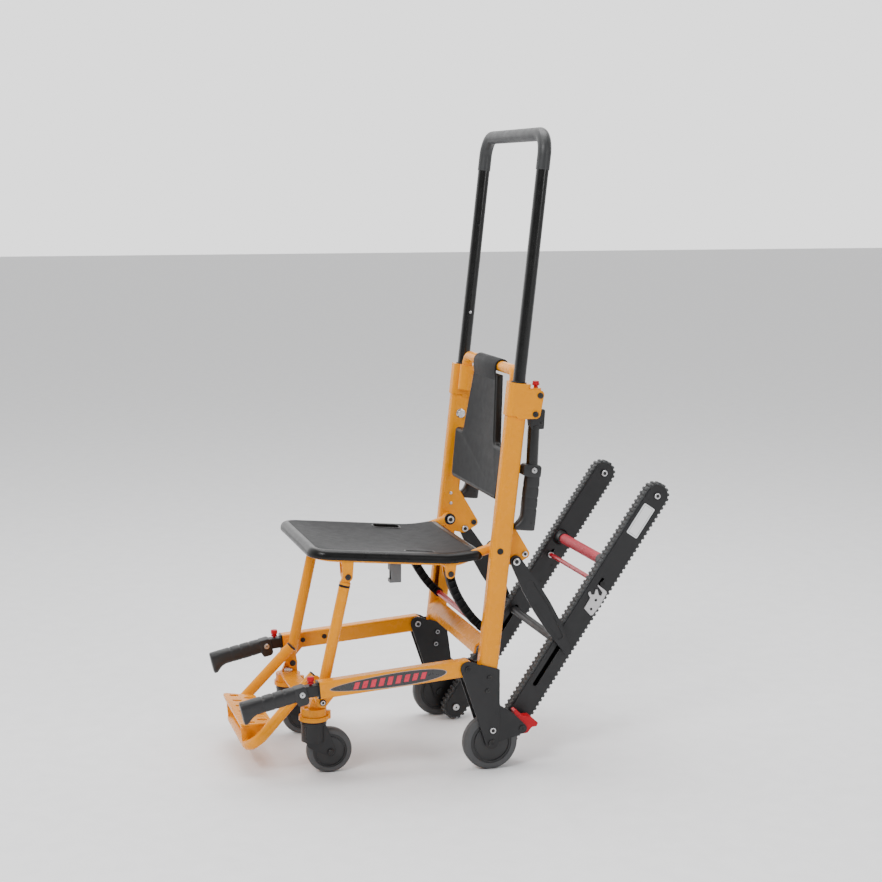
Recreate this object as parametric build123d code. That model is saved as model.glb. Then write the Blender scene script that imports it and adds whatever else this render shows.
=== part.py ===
from build123d import *
import os
from math import cos, degrees, radians, sin, tan, atan2, hypot

# Tracked stair chair. Millimetres, +Z up, the occupant faces -Y, +X is the occupant's left.
# Inside this file Y = 0 is the rear wheel axle; AXLE_Y moves the finished solids so that the
# origin is the middle of the footprint, on the floor.

# ---------------------------------------------------------------- driving dimensions
AXLE_Y = 64.04           # rear axle behind the middle of the footprint
RECLINE = 6.3            # lean of the uprights, degrees
UPRIGHT_X = 225.0        # centre plane of each upright, rail and rear wheel
UPRIGHT_FOOT_Y = -31.5   # where the upright's axis meets the floor
UPRIGHT_W = 34.0         # upright tube across the chair
UPRIGHT_D = 44.0         # upright tube front to back
UPRIGHT_LOW = 172.0      # ends of the upright, along its axis
UPRIGHT_HIGH = 868.0
WALL = 2.5

SEAT_PIVOT = (18.5, 498.0)     # Y, Z of the four pivots of the folding frame
LEG_TOP = (-317.0, 450.0)
LEG_FOOT = (-378.0, 174.5)
RAIL_PIVOT = (-55.5, 236.5)
BRACE_TOP = (-83.0, 444.0)     # brace arm pivot under the rear of the seat
BRACE_FOOT = (-9.0, 318.0)     # brace arm guide in the upright

WHEEL_R = 62.5           # rear wheel
WHEEL_W = 28.0
CASTER_R = 51.0
CASTER_W = 26.0
CASTER_X = 155.0
CASTER_STEM_Y = -388.0
CASTER_TRAIL = 34.0

TRACK_PIVOT = (29.0, 33.0)
TRACK_ANGLE = 33.85      # lean of the deployed track, degrees from vertical
TRACK_LENGTH = 680.0     # between pulley centres
TRACK_X = 177.0
TRACK_W = 32.0
BELT_IN = 22.3           # inside and outside radius of the belt round a pulley
BELT_OUT = 31.0
BELT_W = 26.0
STRUT_TOP = (64.0, 468.0)
STRUT_LENGTH = 231.0     # strut pivot to slot pin
STRUT_LEAN = 29.65       # lean of the strut from straight down, degrees
STRUT_X = (209.0, 214.5)

SEAT_HALF = 204.0        # half width of the seat pan
SEAT_FRONT_Y = -401.0
SEAT_SLOPE = -0.0845       # rise of the seat top per mm towards the rear
SEAT_TOP_Z = 482.4       # height of the seat plane above the rear axle
SEAT_TUBE = 22.0
SEAT_TUBE_X = 187.0

HANDLE_TUBE = 28.0
HANDLE_TOP = 1421.0      # centre of the handle's top bar, along the upright's axis
PIN_FIT = 0.08           # radial clearance of a running pivot
BOLT = 8.0

RAIL_FRONT_Y = -391.0
RAIL_SLOPE = 4.7         # drop of the rails towards the front, degrees
RAIL_H = 38.0
RAIL_W = 31.0
LIFT_TUBE = 25.0         # square inner tube of the front lift handles
GRIP_BOLT = (-429.0, 203.0)
GRIP_DROOP = 13.0
STOW_PIVOT = (97.0, 802.0)     # pivot of the rear lift handles

FOOTREST_TOP = (137.0, -383.0, 217.0)
FOOTREST_LOW = (152.0, -529.0, 62.0)


# ---------------------------------------------------------------- helpers
def save(name, *shapes):
    """Write the solids of the shapes, in the row frame, as one node."""
    solids = [s for shape in shapes for s in shape.solids()]
    placed = [s.moved(Location((0, AXLE_Y, 0))) for s in solids]
    export_step(placed[0] if len(placed) == 1 else Compound(placed), f"parts/{name}.step")


def flip(shape):
    """The same piece on the right-hand side."""
    return mirror(shape, about=Plane.YZ)


def pair(shape):
    return Compound([*shape.solids(), *flip(shape).solids()])


def save_sides(name, shape):
    """Left and right copies as two nodes."""
    save(f"left_{name}", shape)
    save(f"right_{name}", flip(shape))


def pin(at, x0, x1, radius):
    """Cylinder along X at a (y, z) point."""
    low = Plane(origin=(min(x0, x1), at[0], at[1]), x_dir=(0, 1, 0), z_dir=(1, 0, 0))
    return low * Cylinder(radius, abs(x1 - x0), align=(Align.CENTER, Align.CENTER, Align.MIN))


def rod(start, end, radius):
    """Cylinder between two points in space."""
    run = Vector(*end) - Vector(*start)
    base = Plane(origin=start, z_dir=run)
    return base * Cylinder(radius, run.length, align=(Align.CENTER, Align.CENTER, Align.MIN))


def side_plate(sketch, x0, x1):
    """Thicken a (y, z) sketch from x0 to x1."""
    return extrude(Plane.YZ.offset(x0) * sketch, x1 - x0)


def lobes(*circles):
    """Convex outline round circles given as (y, z, radius)."""
    edges = [e for y, z, r in circles for e in (Pos(y, z) * Circle(r)).edges()]
    return make_hull(edges)


def bent_tube(points, radii, radius, wall=0.0):
    """Round tube along straight runs joined by arcs."""
    path = FilletPolyline(*points, radius=radii)
    section = Circle(radius) if wall == 0 else Circle(radius) - Circle(radius - wall)
    return sweep(Plane(origin=path @ 0, z_dir=path % 0) * section, path)


def on_upright(x, depth, along):
    """Point beside the upright's axis: depth rearwards, along upwards."""
    a = radians(RECLINE)
    return (x, UPRIGHT_FOOT_Y + along * sin(a) + depth * cos(a), along * cos(a) - depth * sin(a))


def upright_frame(x=UPRIGHT_X, along=0.0):
    """Location whose Z axis runs up the upright and whose Y axis points to the rear."""
    return Location(on_upright(x, 0, along), (-RECLINE, 0, 0))


def on_track(along, across, x=0.0):
    """Point on the track: along from the lower pulley, across towards the rear."""
    a = radians(TRACK_ANGLE)
    y = TRACK_PIVOT[0] + along * sin(a) + across * cos(a)
    return (x, y, TRACK_PIVOT[1] + along * cos(a) - across * sin(a))


def track_yz(along, across):
    return on_track(along, across)[1:]


def on_strut(along, across=0.0):
    a = radians(STRUT_LEAN)
    y = STRUT_TOP[0] + along * sin(a) + across * cos(a)
    return (y, STRUT_TOP[1] - along * cos(a) + across * sin(a))


def on_rail(forward, up=0.0):
    """(y, z) on the rail: forward from its rear pivot, up square to it."""
    a = radians(RAIL_SLOPE)
    return (RAIL_PIVOT[0] - forward * cos(a) - up * sin(a), RAIL_PIVOT[1] - forward * sin(a) + up * cos(a))


def seat_top(y):
    return SEAT_TOP_Z + SEAT_SLOPE * y


# ---------------------------------------------------------------- main frame
PLATE = 3.2
INNER_FACE = UPRIGHT_X - UPRIGHT_W / 2
OUTER_FACE = UPRIGHT_X + UPRIGHT_W / 2
PLATE_IN = (INNER_FACE - PLATE, INNER_FACE)
PLATE_OUT = (OUTER_FACE, OUTER_FACE + PLATE)
PLATE_BOLTS = [(-6.0, 214.0), (-10.0, 184.0)]
BRAKE_PIVOT = (72.0, 90.0)
BRAKE_BOLT = (2.0, 92.0)
NOTCH = (-27.0, 256.0)         # relief between the rail's lobe and the plate's top edge
GUSSET_TIP = (86.0, 483.0)
GUSSET_RIVETS = [(28.0, 533.0), (28.0, 558.0)]
AXLE_R = 5.0


def upright():
    length = UPRIGHT_HIGH - UPRIGHT_LOW
    outer = RectangleRounded(UPRIGHT_W, UPRIGHT_D, 10)
    inner = RectangleRounded(UPRIGHT_W - 2 * WALL, UPRIGHT_D - 2 * WALL, 10 - WALL)
    tube = upright_frame(along=UPRIGHT_LOW) * extrude(outer - inner, length)
    slot = Plane(origin=on_upright(INNER_FACE, -12.5, 392), x_dir=(0, sin(radians(RECLINE)), cos(radians(RECLINE))),
                 z_dir=(1, 0, 0)) * SlotOverall(170, 9)
    tube -= extrude(slot, 5, both=True)
    for at in PLATE_BOLTS:
        tube -= pin(at, INNER_FACE - 1, OUTER_FACE + 1, 3)
    tube -= pin(SEAT_PIVOT, INNER_FACE - 1, OUTER_FACE + 1, AXLE_R)
    for at in GUSSET_RIVETS:
        tube -= pin(at, INNER_FACE - 1, INNER_FACE + WALL + 1, 2)
    return tube


CLAMP_LOW, CLAMP_HIGH = 803.0, 876.0
BAR_LEG_X = 192.0
BAR_R = 12.5
EAR_OUT = (239.0, 245.5)
EAR_IN = (205.0, 211.5)
EAR_BOLTS = [(108.0, 843.0), STOW_PIVOT]
BUTTON_AT = (104.0, 858.0)


def clamp_casting():
    """Casting on the upright's top: tube socket, top bar socket and a two-cheek rear ear."""
    height = CLAMP_HIGH - CLAMP_LOW
    base = upright_frame(along=CLAMP_LOW)
    body = base * extrude(RectangleRounded(41, 50, 12), height)
    socket = Pos(BAR_LEG_X - UPRIGHT_X, 1) * Circle(17)
    web = Pos(-19, 1) * Rectangle(26, 24)
    body += base * Pos(0, 0, 14) * extrude(socket + web, height - 14)
    ear = lobes((107, 845, 10), (98, 803, 11), (70, 852, 8), (62, 800, 8))
    body += side_plate(ear, *EAR_OUT) + side_plate(ear, *EAR_IN)
    body += Pos((EAR_IN[0] + EAR_OUT[1]) / 2, 94, 856) * Box(30, 34, 6)
    cavity = RectangleRounded(UPRIGHT_W, UPRIGHT_D, 10)
    body -= base * Pos(0, 0, -40) * extrude(cavity, UPRIGHT_HIGH - CLAMP_LOW + 40)
    body -= base * extrude(Circle(HANDLE_TUBE / 2 + 0.5), height + 5)
    body -= base * Pos(BAR_LEG_X - UPRIGHT_X, 1, 30) * extrude(Circle(BAR_R), height)
    body -= Pos(UPRIGHT_X, BUTTON_AT[0], 850) * Cylinder(5.2, 30)
    for at in EAR_BOLTS:
        body -= pin(at, EAR_IN[0] - 1, EAR_OUT[1] + 1, 4)
    return body


def top_bar():
    """Round bar bridging the two castings, its ends dropping into their sockets."""
    foot = on_upright(BAR_LEG_X, 1, CLAMP_LOW + 30)
    crest = on_upright(BAR_LEG_X, 1, 899)
    points = [foot, crest, (-crest[0], crest[1], crest[2]), (-foot[0], foot[1], foot[2])]
    return bent_tube(points, [21, 21], BAR_R, 2.5)


BACK_D = -12.0           # front face of the back panel, ahead of the uprights' axis
BACK_LOW, BACK_STEP, BACK_NECK = 606.0, 726.0, 884.0


def back_outline(inset=0.0):
    points = [(-184, BACK_LOW), (184, BACK_LOW), (192, BACK_STEP), (132, BACK_STEP),
              (86, BACK_NECK), (-86, BACK_NECK), (-132, BACK_STEP), (-192, BACK_STEP)]
    face = make_face(Polyline(*points, close=True))
    corners = face.vertices().filter_by_position(Axis.Y, BACK_LOW - 1, BACK_STEP + 1)
    face = fillet(corners, 10)
    return offset(face, -inset, kind=Kind.INTERSECTION) if inset else face


def backrest():
    """Moulded back panel with a rearward rim, hooked over the top bar."""
    front = Plane(origin=on_upright(0, BACK_D, 0), x_dir=(1, 0, 0), z_dir=on_upright_normal())
    shell = extrude(front * back_outline(), -18) - extrude(front.offset(-4) * back_outline(4), -18)
    bar = on_upright(0, 1, 899)
    ring = Plane(origin=(-86, bar[1], bar[2]), x_dir=(0, 1, 0), z_dir=(1, 0, 0))
    hook = extrude(ring * (Circle(BAR_R + 4.3) - Circle(BAR_R + 0.3)), 172)
    cut = upright_frame(0, 899) * Pos(0, 12, -22) * Box(400, 30, 46)
    return shell + (hook - cut)


def on_upright_normal():
    a = radians(RECLINE)
    return (0, -cos(a), sin(a))


def cross_bar():
    """Bent channel between the feet of the uprights."""
    face = Polyline((-32, 262), (-30, 279), (-4, 298), (-1, 294), (-26, 277), (-28, 262), close=True)
    return side_plate(make_face(face), -INNER_FACE, INNER_FACE)


def gusset():
    sheet = side_plate(lobes((24, 592, 9), (14, 478, 9), (60, 470, 12), (*GUSSET_TIP, 11)), *PLATE_IN)
    for at, r in [(SEAT_PIVOT, AXLE_R), (GUSSET_TIP, 3.5), (STRUT_TOP, 4)]:
        sheet -= pin(at, PLATE_IN[0] - 1, PLATE_IN[1] + 1, r)
    for at in GUSSET_RIVETS:
        sheet -= pin(at, PLATE_IN[0] - 1, PLATE_IN[1] + 1, 2)
    return sheet


def foot_plates():
    """Outer plate, inner plate and brake bracket that carry a rear wheel."""
    outer = side_plate(lobes((*RAIL_PIVOT, 17), (15, 229, 3), (9, 108, 9), (0, 62.5, 14)), *PLATE_OUT)
    inner = side_plate(lobes((*RAIL_PIVOT, 17), (15, 229, 3), (*TRACK_PIVOT, 15), (0, 60, 14)), *PLATE_IN)
    notch = pin(NOTCH, PLATE_IN[0] - 1, PLATE_OUT[1] + 1, 12)
    outer, inner = outer - notch, inner - notch
    bracket_x = (OUTER_FACE - 2.2, OUTER_FACE)
    bracket = side_plate(lobes((6, 112, 10), (14, 142, 8), (45, 122, 8), (*BRAKE_PIVOT, 11), (8, 70, 9)),
                         *bracket_x)
    for at in PLATE_BOLTS:
        outer -= pin(at, *PLATE_OUT, 3)
        inner -= pin(at, *PLATE_IN, 3)
    inner -= pin(TRACK_PIVOT, *PLATE_IN, AXLE_R)
    for plate, span in [(outer, PLATE_OUT), (inner, PLATE_IN), (bracket, bracket_x)]:
        for at, r in [((0, WHEEL_R), AXLE_R), (RAIL_PIVOT, BOLT / 2), (BRAKE_PIVOT, 4), (BRAKE_BOLT, 2.5)]:
            plate -= pin(at, *span, r)
        yield plate


def headed_bolt(at, x_in, x_out, radius, head_r, head_in=0.0, head_out=3.5):
    """Bolt along X with a head outboard and, if head_in is given, a nut inboard."""
    shape = pin(at, x_in, x_out, radius)
    if head_out:
        shape += pin(at, x_out, x_out + head_out, head_r)
    if head_in:
        shape += pin(at, x_in - head_in, x_in, head_r)
    return shape


def frame_bolts():
    yield headed_bolt(RAIL_PIVOT, PLATE_IN[0], PLATE_OUT[1], BOLT / 2, 6.5, 3)
    for at in PLATE_BOLTS:
        yield headed_bolt(at, PLATE_IN[0], PLATE_OUT[1], 3, 5, 2.5, 2.5)
    yield headed_bolt(SEAT_PIVOT, SEAT_TUBE_X - SEAT_TUBE / 2 - 0.7, INNER_FACE + WALL, AXLE_R, 8, 4, 0)
    yield headed_bolt(SEAT_PIVOT, OUTER_FACE - WALL, OUTER_FACE, AXLE_R, 7, 0, 1.2)
    yield headed_bolt(STRUT_TOP, PLATE_IN[0], STRUT_X[1] + 0.5, 4, 7.5, 3, 4)
    yield headed_bolt(GUSSET_TIP, PLATE_IN[0], PLATE_IN[1], 3.5, 6, 3, 3.5)
    yield headed_bolt(TRACK_PIVOT, TRACK_X - TRACK_W / 2 - 0.5, PLATE_IN[1], AXLE_R, 8, 3.5, 0)
    yield headed_bolt(BRAKE_PIVOT, UPRIGHT_X - 12.5, OUTER_FACE, 4, 7, 2.5, 3)
    yield headed_bolt(BRAKE_BOLT, OUTER_FACE - 2.2, PLATE_OUT[1], 2.5, 6, 0, 2.5)
    for at in EAR_BOLTS[:1]:
        yield headed_bolt(at, *(EAR_IN[0], EAR_OUT[1]), 4, 6.5, 2.5, 2.5)
    yield headed_bolt(STOW_PIVOT, EAR_IN[0], EAR_OUT[1], 4, 6.5, 2.5, 2.5)
    for at in GUSSET_RIVETS:
        yield pin(at, PLATE_IN[0] - 1.8, PLATE_IN[0], 3.5) + pin(at, PLATE_IN[0], INNER_FACE + WALL, 2)


def rear_axle():
    return headed_bolt((0, WHEEL_R), PLATE_IN[0], PLATE_OUT[1], AXLE_R, 8, 4, 3)


# ---------------------------------------------------------------- rear wheels and casters
def wheel(centre, x, radius, width, bore):
    """Tyre with a rounded tread, and a dished hub with a groove ring."""
    spot = Plane(origin=(x, centre[0], centre[1]), x_dir=(0, 1, 0), z_dir=(1, 0, 0))
    rim = radius * 0.76
    tyre = spot * (Cylinder(radius, width) - Cylinder(rim, width + 2))
    tread = tyre.edges().filter_by(GeomType.CIRCLE).filter_by(lambda e: e.radius > rim + 1)
    tyre = fillet(tread, width * 0.28)
    hub = Cylinder(rim, width - 4) + Cylinder(11, width + 1)
    hub -= Cylinder(bore + PIN_FIT, width + 4)
    for side in (-1, 1):
        face = side * (width / 2 - 2)
        hub -= Pos(0, 0, face) * (Cylinder(rim * 0.9, 5) - Cylinder(rim * 0.8, 6))
    return tyre, spot * hub


HOUSING_R = 28.0
HOUSING_TOP = 122.0
BOSS = (122.5, 150.0)
STEM_TOP = 158.0


def caster_housing():
    """Round swivel housing with two trailing cheeks, a stem and the wheel's axle pin."""
    axle = (CASTER_STEM_Y + CASTER_TRAIL, CASTER_R)
    body = Pos(CASTER_X, CASTER_STEM_Y, (74.5 + HOUSING_TOP) / 2) * Cylinder(HOUSING_R, HOUSING_TOP - 74.5)
    cheek = lobes((axle[0], axle[1], 12), (CASTER_STEM_Y - 10, 104, 13), (CASTER_STEM_Y + 14, 104, 13),
                  (CASTER_STEM_Y - 6, 74, 14))
    gap = CASTER_W / 2 + 1.2
    for side in (-1, 1):
        ends = sorted((CASTER_X + side * gap, CASTER_X + side * (gap + 6)))
        body += side_plate(cheek, *ends)
    body -= pin(axle, CASTER_X - gap, CASTER_X + gap, CASTER_R + 4)
    body += Pos(CASTER_X, CASTER_STEM_Y, (110 + STEM_TOP) / 2) * Cylinder(8, STEM_TOP - 110)
    body += pin(axle, CASTER_X - gap - 8, CASTER_X + gap + 8, 5)
    return body


def front_frame():
    """Cross-member with a boss over each caster and a cheek up to each leg foot."""
    channel = Pos(0, CASTER_STEM_Y, 136) * (Box(2 * CASTER_X, 42, 34) - Pos(0, -4, -4) * Box(400, 42, 34))
    for side in (-1, 1):
        channel -= Pos(side * CASTER_X, CASTER_STEM_Y, BOSS[0] - 20) * Cylinder(HOUSING_R + 1.5, 40)
        channel += Pos(side * CASTER_X, CASTER_STEM_Y, sum(BOSS) / 2) * Cylinder(29, BOSS[1] - BOSS[0])
        channel += Pos(side * CASTER_X, CASTER_STEM_Y, BOSS[0] + 5) * Cylinder(33, 10)
        channel += Pos(side * CASTER_X, CASTER_STEM_Y + 32, BOSS[0] + 9) * Cylinder(7, 18)
    for x in (-84, -28, 28, 84):
        channel -= Pos(x, CASTER_STEM_Y + 15, 134) * Rot(90, 0, 0) * Cylinder(9, 30)
    cheek = lobes((*LEG_FOOT, 13), (CASTER_STEM_Y - 10, 140, 8), (CASTER_STEM_Y + 16, 140, 8))
    channel += pair(side_plate(cheek, 159.5, 171))
    channel += pair(pin(LEG_FOOT, 148, 171, BOLT / 2) + pin(LEG_FOOT, 145, 148, 7))
    for side in (-1, 1):
        channel -= Pos(side * CASTER_X, CASTER_STEM_Y, 136) * Cylinder(8 + PIN_FIT, 80)
    return channel


LEG_R = 12.5
RAIL_LUG = (UPRIGHT_X - 19.8, UPRIGHT_X - 15.5)
LEG_X = 184.0


def front_leg():
    """Leg tube with a flattened top plug; the top hole is wide, because this pivot is the open one."""
    top = (LEG_X, *LEG_TOP)
    foot = (LEG_X, *LEG_FOOT)
    tube = rod(foot, (LEG_X, LEG_TOP[0] - 3, LEG_TOP[1] - 14), LEG_R)
    tube += rod(foot, top, 10.5) + pin(LEG_TOP, LEG_X - 11, LEG_X + 11, 11.5)
    tube += pin(LEG_FOOT, LEG_X - 12, RAIL_LUG[0] - 0.6, 13.5)
    tube -= pin(LEG_TOP, LEG_X - 30, LEG_X + 30, BOLT / 2 + 3.2)
    return tube - pin(LEG_FOOT, LEG_X - 30, LEG_X + 30, BOLT / 2 + PIN_FIT)


# ---------------------------------------------------------------- seat and brace
TUBE_DROP = 6.3          # gap between the seat plane and the tube under it
BRACKET_T = 3.0
BRACKET_GAP = 11.2


def seat_pan():
    """Moulded pan with a down-turned rim, a raised rear edge and a hand slot in each side."""
    flat_end, lip_y = -72.0, -8.0
    top = [(SEAT_FRONT_Y, seat_top(SEAT_FRONT_Y) - 4), (SEAT_FRONT_Y + 12, seat_top(SEAT_FRONT_Y + 12)),
           (flat_end, seat_top(flat_end)), (lip_y, seat_top(flat_end) + 14.5)]
    under = [(y, z - 5) for y, z in reversed(top)]
    skirt = [(y, z - 22) for y, z in reversed(top)]
    outline = lambda side: (Pos(0, (SEAT_FRONT_Y + lip_y) / 2) *
                            RectangleRounded(2 * (SEAT_HALF - side), lip_y - SEAT_FRONT_Y - 2 * side, 46 - side))
    rear = Pos(0, lip_y - 40) * Rectangle(2 * SEAT_HALF, 80)
    rear_in = Pos(0, lip_y - 40) * Rectangle(2 * (SEAT_HALF - 5), 80)
    plan = extrude(Plane.XY.offset(400) * (outline(0) + rear), 200)
    hollow = extrude(Plane.XY.offset(400) * (outline(5) + rear_in), 200)
    block = side_plate(make_face(Polyline(*top, *skirt, close=True)), -SEAT_HALF, SEAT_HALF) & plan
    lower = [(y + (60 if i == 0 else 0), z - 60) for i, (y, z) in enumerate(reversed(top))]
    room = side_plate(make_face(Polyline(*reversed(under), *lower, close=True)), -300, 300) & hollow
    pan = block - room
    slot = Plane.XY.offset(450) * Pos(SEAT_HALF - 44, -145) * RectangleRounded(24, 62, 9)
    pan -= pair(extrude(slot, 100))
    return pan - seat_tube(0.4)


def tube_centre(y):
    return seat_top(y) - SEAT_TUBE / 2 - TUBE_DROP


def seat_tube(grow=0.0):
    """U tube under the rim whose ends rise to the seat pivots."""
    front = SEAT_FRONT_Y + SEAT_TUBE / 2 + 6
    rear = -66.0
    half = [(SEAT_TUBE_X, *SEAT_PIVOT), (SEAT_TUBE_X, rear, tube_centre(rear)),
            (SEAT_TUBE_X, front, tube_centre(front))]
    points = half + [(-x, y, z) for x, y, z in reversed(half)]
    return bent_tube(points, [60, 50, 50, 60], SEAT_TUBE / 2 + grow)


def seat_frame():
    """The bent tube with a boss on each end for the seat pivots."""
    tube = seat_tube()
    inner = SEAT_TUBE_X - SEAT_TUBE / 2
    tube += pair(pin(SEAT_PIVOT, inner, PLATE_IN[0] - 0.6, 13))
    return tube - pair(pin(SEAT_PIVOT, inner - 20, PLATE_IN[0] + 5, AXLE_R + PIN_FIT))


def seat_bracket(at):
    """Saddle under the seat tube with two cheeks."""
    y, z = at
    crown = tube_centre(y)
    cheek = lobes((y, z, 11), (y - 8, crown - 3, 6), (y + 8, crown - 3, 6))
    x = LEG_X
    shape = side_plate(cheek, x + BRACKET_GAP, x + BRACKET_GAP + BRACKET_T)
    shape += side_plate(cheek, x - BRACKET_GAP - BRACKET_T, x - BRACKET_GAP)
    shape += Pos(x, y, crown - 11) * Box(2 * BRACKET_GAP + 2, 26, 3)
    shape -= seat_tube()
    return shape - pin(at, x - 30, x + 30, BOLT / 2)


def bracket_bolt(at):
    ends = (LEG_X - BRACKET_GAP - BRACKET_T, LEG_X + BRACKET_GAP + BRACKET_T)
    return headed_bolt(at, *ends, BOLT / 2, 6.5, 2.5, 2.5)


def strap_clip():
    """Belt clip under the side of the pan: a plate with a folded hook."""
    y = -204.0
    top = tube_centre(y) - SEAT_TUBE / 2 - 0.1
    plate = Pos(150, y, top + 1.0) * Box(26, 50, 3)
    hook = Pos(150, y + 4, top - 24) * (Box(20, 26, 48) - Pos(0, 0, 2) * Box(14, 20, 46))
    return plate + (hook - Pos(150, y - 12, top - 30) * Box(30, 12, 20))


def brace_arm():
    """Curved arm from the rear seat bracket to its guide beside the upright."""
    x0, x1 = LEG_X - 8, LEG_X + 10
    mid = ((BRACE_TOP[0] + BRACE_FOOT[0]) / 2 - 11, (BRACE_TOP[1] + BRACE_FOOT[1]) / 2 - 9)
    arm = side_plate(lobes((*BRACE_TOP, 9.5), (*mid, 9.5)), x0, x1)
    arm += side_plate(lobes((*mid, 9.5), (*BRACE_FOOT, 10.5)), x0, x1)
    arm += pin(BRACE_FOOT, x0, INNER_FACE - 1.2, 7)
    arm -= pin(BRACE_FOOT, x0 - 10, x1 - 6, 5)
    return arm - pin(BRACE_TOP, x0 - 10, x1 + 10, BOLT / 2 + PIN_FIT)


def brace_bar():
    """Release bar between the feet of the two brace arms."""
    reach = LEG_X + 4
    grip = pin(BRACE_FOOT, -(LEG_X - 8), LEG_X - 8, 7)
    return grip + pin(BRACE_FOOT, -reach, reach, 5)


# ---------------------------------------------------------------- side rails and front lift handles
RAIL_END = (RAIL_PIVOT[0] - RAIL_FRONT_Y) / cos(radians(RAIL_SLOPE))


def rail_box(forward0, forward1, height, width, radius):
    """Rounded bar along the rail axis between two distances ahead of the rail pivot."""
    y, z = on_rail(forward0)
    start = Plane(origin=(UPRIGHT_X, y, z), x_dir=(1, 0, 0),
                  z_dir=(0, -cos(radians(RAIL_SLOPE)), -sin(radians(RAIL_SLOPE))))
    return extrude(start * RectangleRounded(width, height, radius), forward1 - forward0)


def side_rail():
    rail = rail_box(-16, RAIL_END, RAIL_H, RAIL_W, 5)
    rail -= rail_box(40, RAIL_END + 1, RAIL_H - 2 * WALL - 6, RAIL_W - 2 * WALL, 2)
    rail -= rail_box(-30, -3, 60, 60, 2) - pin(RAIL_PIVOT, UPRIGHT_X - 40, UPRIGHT_X + 40, 16)
    near = on_rail(RAIL_END - 14)
    far = on_rail(RAIL_END - 48)
    rail += side_plate(lobes((*LEG_FOOT, 12), (*near, 10), (*far, 10)), *RAIL_LUG)
    rail -= pin(RAIL_PIVOT, 200, 250, BOLT / 2 + PIN_FIT)
    return rail - pin(LEG_FOOT, 200, 230, BOLT / 2)


def rail_bolt():
    """Bolt through the rail lug and the leg foot."""
    return headed_bolt(LEG_FOOT, LEG_X - 11, RAIL_LUG[1], BOLT / 2, 7, 0, 3)


def lift_tube():
    """Square inner tube of a front lift handle, with the boss for its release knob."""
    tube = rail_box(RAIL_END - 150, RAIL_END + 36, LIFT_TUBE, LIFT_TUBE, 3)
    y, z = on_rail(RAIL_END + 16, LIFT_TUBE / 2)
    tube -= Pos(UPRIGHT_X, y, z) * Cylinder(3.6, 30)
    return tube


def knob():
    """Plunger knob: waisted stem with a flat-topped head."""
    y, z = on_rail(RAIL_END + 16, LIFT_TUBE / 2)
    profile = [(0, -8), (3.2, -8), (3.2, 6), (5.5, 7.5), (5.5, 10), (4, 11.5), (8, 13), (8, 19), (7, 20), (0, 20)]
    face = make_face(Plane.XZ * Polyline(*profile, close=True))
    return Pos(UPRIGHT_X, y, z) * revolve(face, Axis.Z)


def grip(length=140.0):
    """Hand grip about the origin: its axis runs down -Z, its nose and collar lug point to -Y."""
    body = Pos(0, 2, -8 - (length - 12) / 2) * Box(31, 34, length - 12)
    body = fillet(body.edges().filter_by(Axis.Z), 12)
    collar = Pos(0, -4, 1) * Box(32, 42, 27)
    collar = fillet(collar.edges().filter_by(Axis.X), 7)
    nose = make_face(Polyline((19, -102), (-11, -102), (-16, -115), (-31, -127), (-31, -133), (-24, -136),
                              (19, -136), close=True))
    foot = fillet(extrude(Plane.YZ.offset(-15.5) * nose, 31).edges().filter_by(Axis.X), 3)
    return body + collar + foot


def front_grip():
    place = Location((UPRIGHT_X, *GRIP_BOLT), (-90 + GRIP_DROOP, 0, 0))
    shape = place * (Rot(0, 0, 180) * grip())
    return shape - rail_box(RAIL_END - 60, RAIL_END + 36, LIFT_TUBE, LIFT_TUBE, 3)


# ---------------------------------------------------------------- rear lift handles and upper handle
STOW_TUBE_TOP = (105.0, 772.0)
STOW_BOLT = (97.0, 676.0)


def stow_arm():
    """Pivot block and tube of a rear lift handle, hanging in its stowed place."""
    block = side_plate(lobes((*STOW_PIVOT, 11.5), (110, 800, 8), (*STOW_TUBE_TOP, 14.5)), 213.5, 236.5)
    tube = rod((UPRIGHT_X, *STOW_TUBE_TOP), (UPRIGHT_X, *STOW_BOLT), 13)
    return block + tube - pin(STOW_PIVOT, 200, 250, 4 + PIN_FIT)


def stow_grip():
    lean = degrees(atan2(STOW_TUBE_TOP[0] - STOW_BOLT[0], STOW_TUBE_TOP[1] - STOW_BOLT[1]))
    shape = Location((UPRIGHT_X, *STOW_BOLT), (-lean - 1.5, 0, 0)) * grip()
    return shape - rod((UPRIGHT_X, *STOW_TUBE_TOP), (UPRIGHT_X, *STOW_BOLT), 13)


def lock_button():
    stem = Pos(UPRIGHT_X, BUTTON_AT[0], 858.5) * Cylinder(4.7, 13)
    return stem + Pos(UPRIGHT_X, BUTTON_AT[0], 869.5) * Cylinder(6.5, 9)


def upper_handle():
    """U-shaped control handle that telescopes into the uprights."""
    foot = on_upright(UPRIGHT_X, 0, 690)
    crown = on_upright(UPRIGHT_X, 0, HANDLE_TOP)
    points = [foot, crown, (-crown[0], crown[1], crown[2]), (-foot[0], foot[1], foot[2])]
    return bent_tube(points, [46, 46], HANDLE_TUBE / 2, 2.5)


def handle_sleeve():
    """Rubber sleeve over the handle's top bar and both of its bends."""
    foot = on_upright(UPRIGHT_X, 0, HANDLE_TOP - 78)
    crown = on_upright(UPRIGHT_X, 0, HANDLE_TOP)
    points = [foot, crown, (-crown[0], crown[1], crown[2]), (-foot[0], foot[1], foot[2])]
    return bent_tube(points, [46, 46], HANDLE_TUBE / 2 + 1.2, 1.2)


def handle_release():
    """Spring plunger on the upright's inner face."""
    at = on_upright(0, 2, 757)[1:]
    return pin(at, INNER_FACE - 9, INNER_FACE - 3.5, 8) + pin(at, INNER_FACE - 3.5, INNER_FACE - 0.4, 4.5)


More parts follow.
